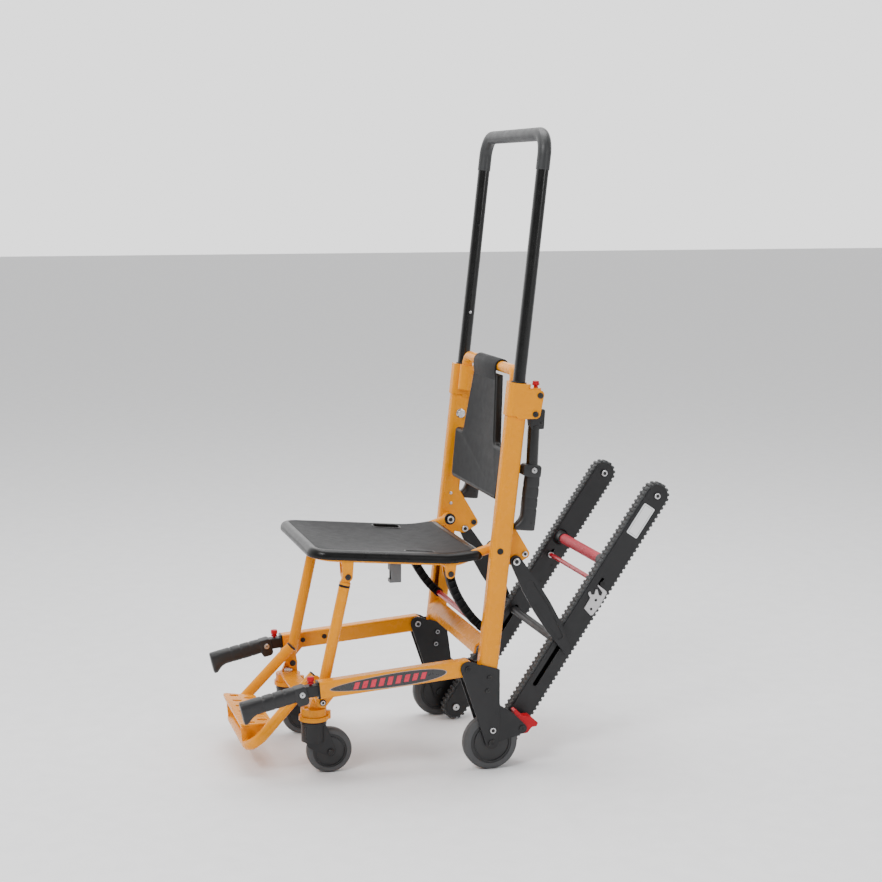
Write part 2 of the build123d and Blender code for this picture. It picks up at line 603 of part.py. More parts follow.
# ---------------------------------------------------------------- footrest
def footrest_tube():
    """U tube whose arms splay down to a cross bar, with a hinge lug on each arm."""
    half = [FOOTREST_TOP, FOOTREST_LOW]
    points = half + [(-x, y, z) for x, y, z in reversed(half)]
    tube = bent_tube(points, [48, 48], 12.5)
    arm = ((FOOTREST_TOP[1] - 14), (FOOTREST_TOP[2] - 14))
    lug = side_plate(lobes((*LEG_FOOT, 12), (*arm, 10), (FOOTREST_TOP[1] + 2, FOOTREST_TOP[2] - 4, 8)), 148.5, 153)
    link = side_plate(lobes((*arm, 8), (FOOTREST_TOP[1] + 1, FOOTREST_TOP[2] - 4, 6)), 138, 153)
    tube += pair(lug + link)
    return tube - pair(pin(LEG_FOOT, 120, 170, BOLT / 2 + PIN_FIT))


PLATE_FRONT = (-548.0, 113.0)
PLATE_REAR = (-474.0, 107.0)
LIP = 9.0
FRONT_HOLES = 6
REAR_HOLES = 5
HOLE_PITCH = 46.0


def footrest_plate():
    """Perforated foot plate with a thin front lip, carried on the cross bar by two side ribs."""
    slope = degrees(atan2(PLATE_REAR[1] - PLATE_FRONT[1], PLATE_REAR[0] - PLATE_FRONT[0]))
    depth = hypot(PLATE_REAR[0] - PLATE_FRONT[0], PLATE_REAR[1] - PLATE_FRONT[1])
    deck = make_face(Polyline((-138, 0), (138, 0), (118, depth), (-118, depth), close=True))
    deck = fillet(deck.vertices().group_by(Axis.Y)[0], 10)
    for column in range(FRONT_HOLES):
        deck -= Pos((column - (FRONT_HOLES - 1) / 2) * HOLE_PITCH, depth * 0.32) * SlotOverall(22, 13, rotation=90)
    for column in range(REAR_HOLES):
        deck -= Pos((column - (REAR_HOLES - 1) / 2) * HOLE_PITCH, depth * 0.74) * SlotOverall(24, 12, rotation=90)
    deck = Location((0, *PLATE_FRONT), (slope, 0, 0)) * extrude(deck, 3.5)
    front, top = PLATE_FRONT
    lip = make_face(Polyline((front, top + 1), (front + 4, top + 1), (front + 6.5, top - LIP), (front + 3, top - LIP),
                             close=True))
    rib = make_face(Polyline((-480, 107), (-545, 112.8), (-541, 68), (-518, 68), close=True))
    shape = deck + side_plate(lip, -128, 128) + pair(side_plate(rib, 100, 104))
    half = [FOOTREST_TOP, FOOTREST_LOW]
    points = half + [(-x, y, z) for x, y, z in reversed(half)]
    return shape - bent_tube(points, [48, 48], 12.5)


# ---------------------------------------------------------------- tracks and strut frame
SLOT_ACROSS = -6.5


SLOT = (164.0, 292.0)    # ends of the slot, along the track from the lower pulley


def track_slot():
    """Straight slot for the strut frame's cross tube."""
    low, high = [track_yz(SLOT[i] + (5.6, -5.6)[i], SLOT_ACROSS) for i in (0, 1)]
    return lobes((*low, 5.6), (*high, 5.6))


def track_plate(x0, x1):
    ends = [(*track_yz(0, 0), 24.5), (*track_yz(TRACK_LENGTH, 0), 24.5)]
    plate = side_plate(lobes(*ends), x0, x1) - side_plate(track_slot(), x0 - 1, x1 + 1)
    plate -= pin(TRACK_PIVOT, x0 - 1, x1 + 1, AXLE_R + PIN_FIT)
    plate -= pin(track_yz(TRACK_LENGTH, 0), x0 - 1, x1 + 1, AXLE_R)
    hole = track_yz(RELEASE_ALONG + 6, RELEASE_ACROSS)
    turned = Plane(origin=(x0 - 1, *hole), x_dir=(0, sin(radians(TRACK_ANGLE)), cos(radians(TRACK_ANGLE))),
                   z_dir=(1, 0, 0))
    return plate - extrude(turned * SlotOverall(20, 7.4), x1 - x0 + 2)


RELEASE_ALONG, RELEASE_ACROSS = 440.0, -4.0
GRIP_ALONG, GRIP_ACROSS = 490.0, -7.0


def track_plates():
    half = TRACK_W / 2
    yield track_plate(TRACK_X + half - 2.5, TRACK_X + half)
    yield track_plate(TRACK_X - half, TRACK_X - half + 2.5)


def belt():
    outer = [(*track_yz(0, 0), BELT_OUT), (*track_yz(TRACK_LENGTH, 0), BELT_OUT)]
    inner = [(*track_yz(0, 0), BELT_IN), (*track_yz(TRACK_LENGTH, 0), BELT_IN)]
    x0 = TRACK_X - BELT_W / 2
    return side_plate(lobes(*outer) - lobes(*inner), x0, x0 + BELT_W)


def belt_guides():
    """Front and rear slide rails just inside the belt."""
    x0 = TRACK_X - TRACK_W / 2 + 2.5
    width = TRACK_W - 5
    for side in (-1, 1):
        corners = [track_yz(u, side * v) for u, v in [(30, 17), (30, 21.9), (650, 21.9), (650, 17)]]
        yield side_plate(make_face(Polyline(*corners, close=True)), x0, x0 + width)


def pulley(along):
    """Belt pulley: two flanges and a ribbed core."""
    at = track_yz(along, 0)
    half = BELT_W / 2
    body = pin(at, TRACK_X - half, TRACK_X + half, 21.8)
    body -= pin(at, TRACK_X - 4, TRACK_X + 4, 30) - pin(at, TRACK_X - 4, TRACK_X + 4, 19)
    return body - pin(at, TRACK_X - 30, TRACK_X + 30, AXLE_R + PIN_FIT)


def track_grip():
    """Grip tube between the tracks with a flanged collar at each end, and the upper pulley bolts."""
    at = track_yz(GRIP_ALONG, GRIP_ACROSS)
    reach = TRACK_X - TRACK_W / 2
    bar = pin(at, -reach, reach, 12.5)
    flange = pin(at, reach - 4, reach, 19) + pin(at, reach - 24, reach - 4, 14.5)
    bolt = headed_bolt(track_yz(TRACK_LENGTH, 0), TRACK_X - TRACK_W / 2, TRACK_X + TRACK_W / 2, AXLE_R, 8, 2.5, 2)
    return bar + pair(flange), pair(bolt)


def release_bar():
    """Thin release bar whose reduced ends ride in short slots in the inner track plates."""
    at = track_yz(RELEASE_ALONG, RELEASE_ACROSS)
    reach = TRACK_X - TRACK_W / 2 - 0.5
    return pin(at, -reach, reach, 5.5) + pin(at, -reach - 2.7, reach + 2.7, 3.4)


def latch_plate():
    """Hooked latch plate on the outer face of a track."""
    x0 = TRACK_X + TRACK_W / 2
    body = [(-5, 374), (17, 368), (21, 371), (24, 398), (22, 430), (18, 434)]
    hook = [(-7, 436), (-7, 434), (12, 427), (14, 419), (8, 417)]
    teeth = [(-2, 426), (-6, 424), (-2, 413), (-8, 409), (-15, 414), (-17, 408), (-6, 401)]
    face = make_face(Polyline(*[track_yz(u, v) for v, u in body + hook + teeth], close=True))
    plate = side_plate(face, x0, x0 + 3)
    for along, across in ((381, 10), (404, 8)):
        plate -= pin(track_yz(along, across), x0 - 1, x0 + 4, 2.5)
    return plate


def strut():
    """Lens-shaped strut with a dished face, from the gusset to the slot in the track."""
    outline = lobes((*on_strut(0), 13), (*on_strut(70, 0), 20), (*on_strut(125, 1), 21.5),
                    (*on_strut(180, 2), 19), (*on_strut(249, 2), 8))
    dish = lobes((*on_strut(62), 11), (*on_strut(125, 1), 14), (*on_strut(205, 2), 8))
    plate = side_plate(outline, *STRUT_X) - side_plate(dish, STRUT_X[1] - 1.6, STRUT_X[1] + 1)
    return plate - pin(STRUT_TOP, 200, 220, 4 + PIN_FIT)


def strut_tube():
    """Cross tube between the tracks whose headed ends pass out through the slots to the struts."""
    at = on_strut(STRUT_LENGTH)
    reach = TRACK_X - TRACK_W / 2 - 1.0
    outer = TRACK_X + TRACK_W / 2
    ends = pin(at, -outer - 9, outer + 9, 4.5) + pair(pin(at, outer + 9, outer + 12.5, 7.5))
    return pin(at, -reach, reach, 10) + ends


# ---------------------------------------------------------------- wheel lock
def pedal():
    """Wheel lock pedal: a foot pad behind its pivot and a shoe ahead of it."""
    outline = Polyline((53, 131), (60, 133), (76, 117), (92, 117), (111, 99), (108, 92), (96, 90),
                       (86, 78), (67, 76), (60, 92), (60, 112), close=True)
    body = side_plate(make_face(outline), UPRIGHT_X - 12, UPRIGHT_X + 12)
    body = fillet(body.edges().filter_by(Axis.X), 2)
    return body - pin(BRAKE_PIVOT, 200, 250, 4 + PIN_FIT)


# ---------------------------------------------------------------- build
def build_frame():
    save("uprights", pair(upright()))
    save("clamp_castings", pair(clamp_casting()))
    save("top_bar", top_bar())
    save("backrest", backrest())
    save("cross_bar", cross_bar())
    save("gusset_plates", pair(gusset()))
    save("foot_plates", *[pair(plate) for plate in foot_plates()])
    save("frame_bolts", *[pair(bolt) for bolt in frame_bolts()], pair(rear_axle()))


def build_handles():
    save("upper_handle", upper_handle())
    save("handle_sleeve", handle_sleeve())
    save_sides("handle_release", handle_release())
    save_sides("rear_handle_arm", stow_arm())
    save_sides("rear_handle_grip", stow_grip())
    save_sides("lock_button", lock_button())
    save_sides("front_handle_tube", lift_tube())
    save_sides("front_handle_grip", front_grip())
    save_sides("plunger_knob", knob())


def build_seat():
    save("seat_pan", seat_pan())
    save("seat_frame", seat_frame())
    pieces = [make(at) for at in (LEG_TOP, BRACE_TOP) for make in (seat_bracket, bracket_bolt)]
    save("seat_brackets", *[pair(piece) for piece in pieces])
    save("strap_clips", pair(strap_clip()))
    save("brace_arms", pair(brace_arm()))
    save("brace_release_bar", brace_bar())


def build_front():
    save("side_rails", pair(side_rail()))
    save("front_legs", pair(front_leg()))
    save("cross_member", front_frame())
    save("frame_pivot_pins", pair(rail_bolt()))
    save("footrest_tube", footrest_tube())
    save("footrest_plate", footrest_plate())


def build_wheels():
    save_sides("caster_housing", caster_housing())
    axle = (CASTER_STEM_Y + CASTER_TRAIL, CASTER_R)
    tyre, hub = wheel(axle, CASTER_X, CASTER_R, CASTER_W, 5)
    save_sides("caster_tyre", tyre)
    save_sides("caster_hub", hub)
    tyre, hub = wheel((0, WHEEL_R), UPRIGHT_X, WHEEL_R, WHEEL_W, AXLE_R)
    save_sides("rear_tyre", tyre)
    save_sides("rear_hub", hub)
    save_sides("wheel_lock_pedal", pedal())


def build_tracks():
    save("track_plates", *[pair(plate) for plate in track_plates()])
    save("track_belts", pair(belt()))
    save("belt_guides", *[pair(guide) for guide in belt_guides()])
    save("upper_pulleys", pair(pulley(TRACK_LENGTH)))
    save("lower_pulleys", pair(pulley(0)))
    bar, bolts = track_grip()
    save("track_grip", bar)
    save("track_pulley_bolts", bolts)
    save("track_release_bar", release_bar())
    save("track_latches", pair(latch_plate()))
    save("struts", pair(strut()))
    save("strut_cross_tube", strut_tube())


os.makedirs("parts", exist_ok=True)
build_frame()
build_handles()
build_seat()
build_front()
build_wheels()
build_tracks()
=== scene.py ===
"""Tracked stair chair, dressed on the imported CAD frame. Metres, +Z up, the occupant faces -Y."""
import math

import bmesh
import bpy
from mathutils import Matrix, Vector

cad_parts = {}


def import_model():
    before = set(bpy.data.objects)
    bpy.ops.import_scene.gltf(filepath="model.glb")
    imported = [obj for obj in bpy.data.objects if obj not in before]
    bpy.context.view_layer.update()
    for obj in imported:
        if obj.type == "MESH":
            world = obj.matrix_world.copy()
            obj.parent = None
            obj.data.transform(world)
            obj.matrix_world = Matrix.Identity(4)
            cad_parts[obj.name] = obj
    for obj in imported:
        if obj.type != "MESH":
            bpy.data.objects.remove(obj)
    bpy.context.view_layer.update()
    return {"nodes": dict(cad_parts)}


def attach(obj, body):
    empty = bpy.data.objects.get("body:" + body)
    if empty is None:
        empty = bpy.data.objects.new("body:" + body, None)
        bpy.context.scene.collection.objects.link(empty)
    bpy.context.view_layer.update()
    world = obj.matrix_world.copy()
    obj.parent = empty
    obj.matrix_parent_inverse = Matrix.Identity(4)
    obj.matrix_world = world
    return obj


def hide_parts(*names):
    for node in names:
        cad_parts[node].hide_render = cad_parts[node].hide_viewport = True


AXLE_Y = 64.04           # rear axle behind the origin, mm; shapes below are in mm about the axle
RECLINE = math.radians(6.3)
TRACK_LEAN = math.radians(33.85)
RAIL_SLOPE = math.radians(4.7)
TRACK_FOOT = (29.0, 33.0)                    # places on the side view are (y, z)
TRACK_LENGTH = 680.0
TRACK_X, TRACK_OUTER, TRACK_INNER = 177, 193.0, 161
BAR_R = 12.5
RAIL_END, LIFT_TUBE_HALF = 336.0, 12.5
UPRIGHT_X = 225                              # uprights, rails and lift handles share this plane
PLATE_OUTER = 245.3
RAIL_PIVOT = (-55.5, 236.5)
SEAT_PIVOT = (18.5, 498)
SEAT_TOP_Z, SEAT_SLOPE = 482.4, -0.0845
STRUT_PIVOT, GUSSET_BOLT = (64, 468), (86, 483)
EAR_BOLTS = ((108, 843), (97, 802))
LEG_FOOT, LEG_TOP = (-378, 174.5), (-317, 450)
BRACE_TOP = (-83, 444)
CASTER_X, CASTER_STEM_Y, CASTER_AXLE = 155, -388, (-354, 51)
FOOTREST_TOP, FOOTREST_LOW = (137, -383, 217), (152, -529, 62)


# ---------------------------------------------------------------- places
def row(x, y, z):
    """Millimetres about the rear axle to metres in the row frame."""
    return Vector((x, y + AXLE_Y, z)) / 1000


def on_upright(x, depth, along):
    y = -31.5 + along * math.sin(RECLINE) + depth * math.cos(RECLINE)
    return (x, y, along * math.cos(RECLINE) - depth * math.sin(RECLINE))


def on_track(x, along, across):
    y = TRACK_FOOT[0] + along * math.sin(TRACK_LEAN) + across * math.cos(TRACK_LEAN)
    return (x, y, TRACK_FOOT[1] + along * math.cos(TRACK_LEAN) - across * math.sin(TRACK_LEAN))


def on_rail(x, forward, up):
    c, s = math.cos(RAIL_SLOPE), math.sin(RAIL_SLOPE)
    return (x, RAIL_PIVOT[0] - forward * c - up * s, RAIL_PIVOT[1] - forward * s + up * c)


def seat_plane(y):
    return SEAT_TOP_Z + SEAT_SLOPE * y


# ---------------------------------------------------------------- materials
def node(tree, kind, **values):
    made = tree.nodes.new(kind)
    for key, value in values.items():
        setattr(made, key, value)
    return made


def noise(tree, coords, scale, detail=3.0, stretch=(1, 1, 1)):
    """Noise texture in object space; stretch scales the axes."""
    mapping = node(tree, "ShaderNodeMapping")
    mapping.inputs["Scale"].default_value = stretch
    tree.links.new(coords, mapping.inputs["Vector"])
    made = node(tree, "ShaderNodeTexNoise")
    made.inputs["Scale"].default_value = scale
    made.inputs["Detail"].default_value = detail
    tree.links.new(mapping.outputs["Vector"], made.inputs["Vector"])
    return made.outputs["Fac"]


def spread(tree, value, low, high):
    """Maps the middle of a noise value onto low to high."""
    made = node(tree, "ShaderNodeMapRange")
    made.inputs["From Min"].default_value = 0.3
    made.inputs["From Max"].default_value = 0.7
    made.inputs["To Min"].default_value = low
    made.inputs["To Max"].default_value = high
    tree.links.new(value, made.inputs["Value"])
    return made.outputs["Result"]


def tint(tree, value, dark, light):
    ramp = node(tree, "ShaderNodeValToRGB")
    ramp.color_ramp.elements[0].position = 0.3
    ramp.color_ramp.elements[1].position = 0.7
    ramp.color_ramp.elements[0].color = (*dark, 1)
    ramp.color_ramp.elements[1].color = (*light, 1)
    tree.links.new(value, ramp.inputs["Fac"])
    return ramp.outputs["Color"]


COAT_ROUGHNESS = 0.12


def finish(name, dark, light, rough, grain, bump, patch=18.0, metallic=0.0, coat=0.0, edge=0.0008,
           stretch=(1, 1, 1), specular=0.5):
    """Surface whose colour and gloss drift slowly, with a fine bumped grain and softened edges."""
    made = bpy.data.materials.new(name)
    made.use_nodes = True
    tree = made.node_tree
    shader = tree.nodes["Principled BSDF"]
    coords = node(tree, "ShaderNodeTexCoord").outputs["Object"]
    slow = noise(tree, coords, patch, 4.0)
    fine = noise(tree, coords, grain, 2.0, stretch)
    tree.links.new(tint(tree, slow, dark, light), shader.inputs["Base Color"])
    gloss = noise(tree, coords, patch * 3, 5.0, stretch)
    tree.links.new(spread(tree, gloss, *rough), shader.inputs["Roughness"])
    shader.inputs["Metallic"].default_value = metallic
    shader.inputs["Coat Weight"].default_value = coat
    shader.inputs["Coat Roughness"].default_value = COAT_ROUGHNESS
    shader.inputs["Specular IOR Level"].default_value = specular
    relief = node(tree, "ShaderNodeBump")
    relief.inputs["Strength"].default_value = bump
    relief.inputs["Distance"].default_value = 0.0004
    tree.links.new(fine, relief.inputs["Height"])
    if edge:
        soft = node(tree, "ShaderNodeBevel", samples=4)
        soft.inputs["Radius"].default_value = edge
        tree.links.new(soft.outputs["Normal"], relief.inputs["Normal"])
    tree.links.new(relief.outputs["Normal"], shader.inputs["Normal"])
    return made


YELLOW = finish("yellow powder coat", (0.77, 0.275, 0.0), (0.81, 0.295, 0.0), (0.24, 0.30), 900, 0.05,
                edge=0.0011, specular=0.20)
BLACK = finish("black powder coat", (0.007, 0.007, 0.008), (0.011, 0.011, 0.012), (0.36, 0.46), 1600,
               0.18, specular=0.4)
GLOSS = finish("black gloss tube", (0.004, 0.004, 0.004), (0.006, 0.006, 0.006), (0.20, 0.28), 700,
               0.04, coat=0.25, specular=0.4)
MOULDED = finish("grained black moulding", (0.011, 0.011, 0.012), (0.014, 0.014, 0.015), (0.54, 0.60),
                 2200, 0.14, edge=0, specular=0.16)
RIM = finish("smooth black moulding", (0.006, 0.006, 0.006), (0.009, 0.009, 0.009), (0.26, 0.34), 900,
             0.03, edge=0, specular=0.25)
BACK_RIM = finish("satin black moulding", (0.006, 0.006, 0.006), (0.009, 0.009, 0.009), (0.38, 0.46),
                  900, 0.05, edge=0, specular=0.2)
GRIP = finish("black grip rubber", (0.008, 0.008, 0.009), (0.012, 0.012, 0.013), (0.40, 0.50), 1300,
              0.30, edge=0)
SLEEVE = finish("grey handle sleeve", (0.022, 0.023, 0.024), (0.030, 0.031, 0.032), (0.40, 0.50), 1500,
                0.25, edge=0)
TYRE = finish("grey tyre rubber", (0.050, 0.051, 0.053), (0.064, 0.065, 0.067), (0.55, 0.68), 1100,
              0.25)
HUB = finish("black wheel hub", (0.008, 0.008, 0.009), (0.012, 0.012, 0.013), (0.30, 0.42), 800, 0.12)
BELT = finish("track belt rubber", (0.030, 0.031, 0.032), (0.058, 0.060, 0.062), (0.50, 0.68), 900,
              0.35, patch=90, edge=0.0004)
RED = finish("red moulding", (0.40, 0.001, 0.008), (0.48, 0.002, 0.012), (0.30, 0.42), 900, 0.12,
             specular=0.25)
RED_BAR = finish("red anodised bar", (0.40, 0.004, 0.016), (0.50, 0.008, 0.024), (0.24, 0.36), 700,
                 0.08, coat=0.15, metallic=0.2)
STEEL = finish("zinc plated steel", (0.50, 0.50, 0.51), (0.70, 0.70, 0.71), (0.22, 0.38), 1400, 0.10,
               metallic=1.0, edge=0.0003, stretch=(1, 1, 6))
OXIDE = finish("black oxide steel", (0.020, 0.020, 0.021), (0.040, 0.039, 0.038), (0.28, 0.42), 1400,
               0.12, metallic=0.6, edge=0.0003)
PLATE = finish("brushed latch plate", (0.50, 0.49, 0.50), (0.56, 0.55, 0.56), (0.36, 0.44), 900, 0.12,
               metallic=0.6, stretch=(1, 8, 1), edge=0.0004)
GREY = finish("grey clip plastic", (0.095, 0.100, 0.105), (0.125, 0.130, 0.135), (0.42, 0.55), 1200,
              0.25)
# Near-black painted shade, standing in for the shaded insides of holes and bolt sockets; also the plain black
# of the seat pivot bolt heads.
HOLE_SHADE_AND_BLACK_BOLT = finish("painted hole shade and black bolt", (0.004, 0.004, 0.004), (0.009, 0.009, 0.009), (0.60, 0.80), 900, 0.10,
                edge=0)
LABEL = finish("white label film", (0.74, 0.75, 0.76), (0.80, 0.81, 0.82), (0.30, 0.42), 700, 0.05,
               edge=0)
DECAL = finish("dark decal film", (0.022, 0.022, 0.024), (0.034, 0.034, 0.036), (0.24, 0.34), 700, 0.05,
               edge=0)
DECAL_RED = finish("red decal film", (0.60, 0.012, 0.045), (0.70, 0.018, 0.055), (0.24, 0.34), 700,
                   0.05, edge=0)
DECAL_GREY = finish("grey decal film", (0.30, 0.30, 0.31), (0.38, 0.38, 0.39), (0.28, 0.38), 700, 0.05,
                    edge=0)


def mottled_red():
    """Soft red foam with small pale and dark flecks."""
    made = finish("flecked red grip", (0.38, 0.005, 0.020), (0.50, 0.014, 0.040), (0.38, 0.52), 1000,
                  0.35, patch=45, specular=0.3)
    tree = made.node_tree
    shader = tree.nodes["Principled BSDF"]
    base = shader.inputs["Base Color"].links[0].from_socket
    coords = node(tree, "ShaderNodeTexCoord").outputs["Object"]
    flecks = node(tree, "ShaderNodeTexVoronoi", feature="F1")
    flecks.inputs["Scale"].default_value = 150
    tree.links.new(coords, flecks.inputs["Vector"])
    mask = node(tree, "ShaderNodeMapRange")
    mask.inputs["From Min"].default_value = 0.10
    mask.inputs["From Max"].default_value = 0.32
    mask.inputs["To Min"].default_value = 0.45
    mask.inputs["To Max"].default_value = 0.0
    tree.links.new(flecks.outputs["Distance"], mask.inputs["Value"])
    mix = node(tree, "ShaderNodeMix", data_type="RGBA")
    tree.links.new(mask.outputs["Result"], mix.inputs["Factor"])
    tree.links.new(base, mix.inputs["A"])
    mix.inputs["B"].default_value = (0.62, 0.20, 0.22, 1)
    tree.links.new(mix.outputs["Result"], shader.inputs["Base Color"])
    return made


RED_GRIP = mottled_red()

NODE_FINISH = {
    YELLOW: ["uprights", "side_rails", "front_legs", "top_bar", "cross_bar", "gusset_plates",
             "clamp_castings", "seat_frame", "seat_brackets", "cross_member", "footrest_tube",
             "footrest_plate"],
    BLACK: ["foot_plates", "track_plates", "struts", "strut_cross_tube", "left_caster_housing",
            "right_caster_housing", "left_front_handle_tube", "right_front_handle_tube"],
    GLOSS: ["upper_handle"],
    SLEEVE: ["handle_sleeve"],
    OXIDE: ["frame_bolts", "frame_pivot_pins", "track_pulley_bolts"],
    STEEL: ["left_handle_release", "right_handle_release"],
    PLATE: ["track_latches"],
    RED: ["left_wheel_lock_pedal", "right_wheel_lock_pedal"],
    RED_BAR: ["brace_release_bar", "track_release_bar"],
    RED_GRIP: ["track_grip"],
    HUB: ["belt_guides", "upper_pulleys", "lower_pulleys", "left_caster_hub", "right_caster_hub",
          "left_rear_hub", "right_rear_hub"],
    TYRE: ["left_caster_tyre", "right_caster_tyre", "left_rear_tyre", "right_rear_tyre"],
    GREY: ["strap_clips"],
}


def dress_nodes(nodes):
    for material, names in NODE_FINISH.items():
        for name in names:
            nodes[name].data.materials.clear()
            nodes[name].data.materials.append(material)


# ---------------------------------------------------------------- mesh building
class Shape:
    """Collects vertices and faces, with a material index for each face."""

    def __init__(self, name, materials):
        self.name, self.materials = name, materials
        self.verts, self.faces, self.slots = [], [], []

    def ring(self, points):
        start = len(self.verts)
        self.verts += [row(*p) for p in points]
        return list(range(start, start + len(points)))

    def face(self, ids, slot=0):
        self.faces.append(ids)
        self.slots.append(slot)

    def skin(self, a, b, slot=0):
        """Quads between two rings of the same length."""
        count = len(a)
        for i in range(count):
            j = (i + 1) % count
            self.face([a[i], a[j], b[j], b[i]], slot)

    def loft(self, rings, slot=0, caps=True):
        ids = [self.ring(points) for points in rings]
        for a, b in zip(ids, ids[1:]):
            self.skin(a, b, slot)
        if caps:
            self.face(ids[0][::-1], slot)
            self.face(ids[-1], slot)
        return ids

    def build(self, body, smooth_angle=35.0):
        mesh = bpy.data.meshes.new(self.name)
        mesh.from_pydata(self.verts, [], self.faces)
        for material in self.materials:
            mesh.materials.append(material)
        mesh.polygons.foreach_set("material_index", self.slots)
        tool = bmesh.new()
        tool.from_mesh(mesh)
        bmesh.ops.recalc_face_normals(tool, faces=tool.faces)
        tool.to_mesh(mesh)
        tool.free()
        mesh.shade_smooth()
        mesh.set_sharp_from_angle(angle=math.radians(smooth_angle))
        made = bpy.data.objects.new(self.name, mesh)
        bpy.context.scene.collection.objects.link(made)
        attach(made, body)
        return made


def circle(count, radius=1.0):
    step = 2 * math.pi / count
    return [(radius * math.cos(i * step), radius * math.sin(i * step)) for i in range(count)]


def inset(points, distance):
    """Closed anticlockwise outline moved inwards along its vertex normals."""
    count = len(points)
    moved = []
    for i in range(count):
        before, here, after = points[i - 1], points[i], points[(i + 1) % count]
        a = Vector((here[0] - before[0], here[1] - before[1])).normalized()
        b = Vector((after[0] - here[0], after[1] - here[1])).normalized()
        normal = Vector((-a.y - b.y, a.x + b.x))
        scale = 2 / max(normal.length_squared, 0.8)
        moved.append((here[0] + normal.x * scale * distance, here[1] + normal.y * scale * distance))
    return moved


ARC_STEPS = 6


def rounded(corners):
    """Outline of a polygon given as (u, v, radius) corners, each rounded by an arc."""
    count = len(corners)
    outline = []
    for i in range(count):
        here = Vector(corners[i][:2])
        back = (Vector(corners[i - 1][:2]) - here).normalized()
        ahead = (Vector(corners[(i + 1) % count][:2]) - here).normalized()
        radius = corners[i][2]
        half = back.angle(ahead) / 2
        reach = radius / math.tan(half)
        centre = here + (back + ahead).normalized() * (radius / math.sin(half))
        first, last = here + back * reach - centre, here + ahead * reach - centre
        turn = math.atan2(first.x * last.y - first.y * last.x, first.dot(last))
        for k in range(ARC_STEPS + 1):
            spin = Matrix.Rotation(turn * k / ARC_STEPS, 2)
            outline.append(tuple(centre + spin @ first))
    return outline


def shrunk(corners, d):
    """Rounded outline of an anticlockwise corner list with every edge moved inwards by d."""
    moved = []
    count = len(corners)
    for i in range(count):
        here = Vector(corners[i][:2])
        a = (here - Vector(corners[i - 1][:2])).normalized()
        b = (Vector(corners[(i + 1) % count][:2]) - here).normalized()
        na, nb = Vector((-a.y, a.x)), Vector((-b.y, b.x))
        point = here + (na + nb) * (d / (1 + na.dot(nb)))
        convex = a.x * b.y - a.y * b.x > 0
        radius = corners[i][2] - d if convex else corners[i][2] + d
        moved.append((point.x, point.y, max(radius, 0.3)))
    return rounded(moved)


def anticlockwise(points):
    area = sum(a[0] * b[1] - b[0] * a[1] for a, b in zip(points, points[1:] + points[:1]))
    return points if area > 0 else points[::-1]


def slab(shape, outline, x0, x1, bevel=0.0, slot=0, place=None):
    """Outline of (y, z) points thickened along X, its two rims rounded by bevel."""
    outline = anticlockwise(outline)
    put = place or (lambda x, u, v: (x, u, v))
    rings = []
    quarter = [(bevel * (1 - math.sin(a)), bevel * (1 - math.cos(a))) for a in (0.0, 0.52, 1.05, 1.57)]
    profile = quarter if bevel else [(0.0, 0.0)]
    for inward, depth in profile:
        rings.append([put(x0 + depth, u, v) for u, v in inset(outline, inward)])
    for inward, depth in reversed(profile):
        rings.append([put(x1 - depth, u, v) for u, v in inset(outline, inward)])
    shape.loft(rings, slot)


def lathe_x(shape, centre, profile, way=1, slot=0, count=28, hexagon=()):
    """Profile of (distance along X, radius) rings about a centre; rings in hexagon are six-sided."""
    rings = []
    for index, (along, radius) in enumerate(profile):
        points = []
        for c, s in circle(count):
            r = radius
            if index in hexagon:
                sixth = math.pi / 3
                r = radius * math.cos(sixth / 2) / math.cos((math.atan2(s, c) % sixth) - sixth / 2)
            points.append((centre[0] + way * along, centre[1] + r * c, centre[2] + r * s))
        rings.append(points)
    return shape.loft(rings, slot)


def button_bolt(shape, at, way, radius, height, head=0, dark=1):
    """Domed socket-head bolt standing out of a face at X = at[0]; its socket is a dark hexagon of painted
    shade.
    """
    r, h = radius, height
    dome = [(-0.4, r), (0.35 * h, r), (0.75 * h, 0.88 * r), (h, 0.62 * r), (h, 0.52 * r)]
    lathe_x(shape, at, dome, way, head)
    # dark hexagon in the dome's opening: painted shade inside the socket
    lathe_x(shape, at, [(h + 0.05, 0.46 * r), (0.5 * h, 0.44 * r)], way, dark, hexagon=(0, 1))


def ring_bolt(shape, at, way, radius, height, ring=0, inner=1, dark=2):
    """Bright flanged ring round a dark socket head, with a dark hexagon of painted shade for its socket."""
    r, h = radius, height
    flange = [(-0.4, r), (0.5 * h, r), (h, 0.86 * r), (h, 0.60 * r), (0.6 * h, 0.56 * r)]
    lathe_x(shape, at, flange, way, ring)
    lathe_x(shape, at, [(0.2, 0.56 * r), (0.8 * h, 0.54 * r), (0.9 * h, 0.40 * r)], way, inner)
    # dark hexagon: painted shade inside the socket
    lathe_x(shape, at, [(0.9 * h + 0.05, 0.30 * r), (0.3 * h, 0.28 * r)], way, dark, hexagon=(0, 1))


def both_sides(draw):
    for side in (1, -1):
        draw(side)


# ---------------------------------------------------------------- seat and back panel
SEAT_HALF, SEAT_FRONT, SEAT_REAR = 204.0, -401.0, -8.0
FRONT_CORNER, REAR_CORNER = 46.0, 14.0
DISH_DEPTH, REAR_RISE = 11.0, 14.5
HAND_SLOT_X, HAND_SLOT_Y, HAND_SLOT_HALF = 160.0, (-176, -114), 12


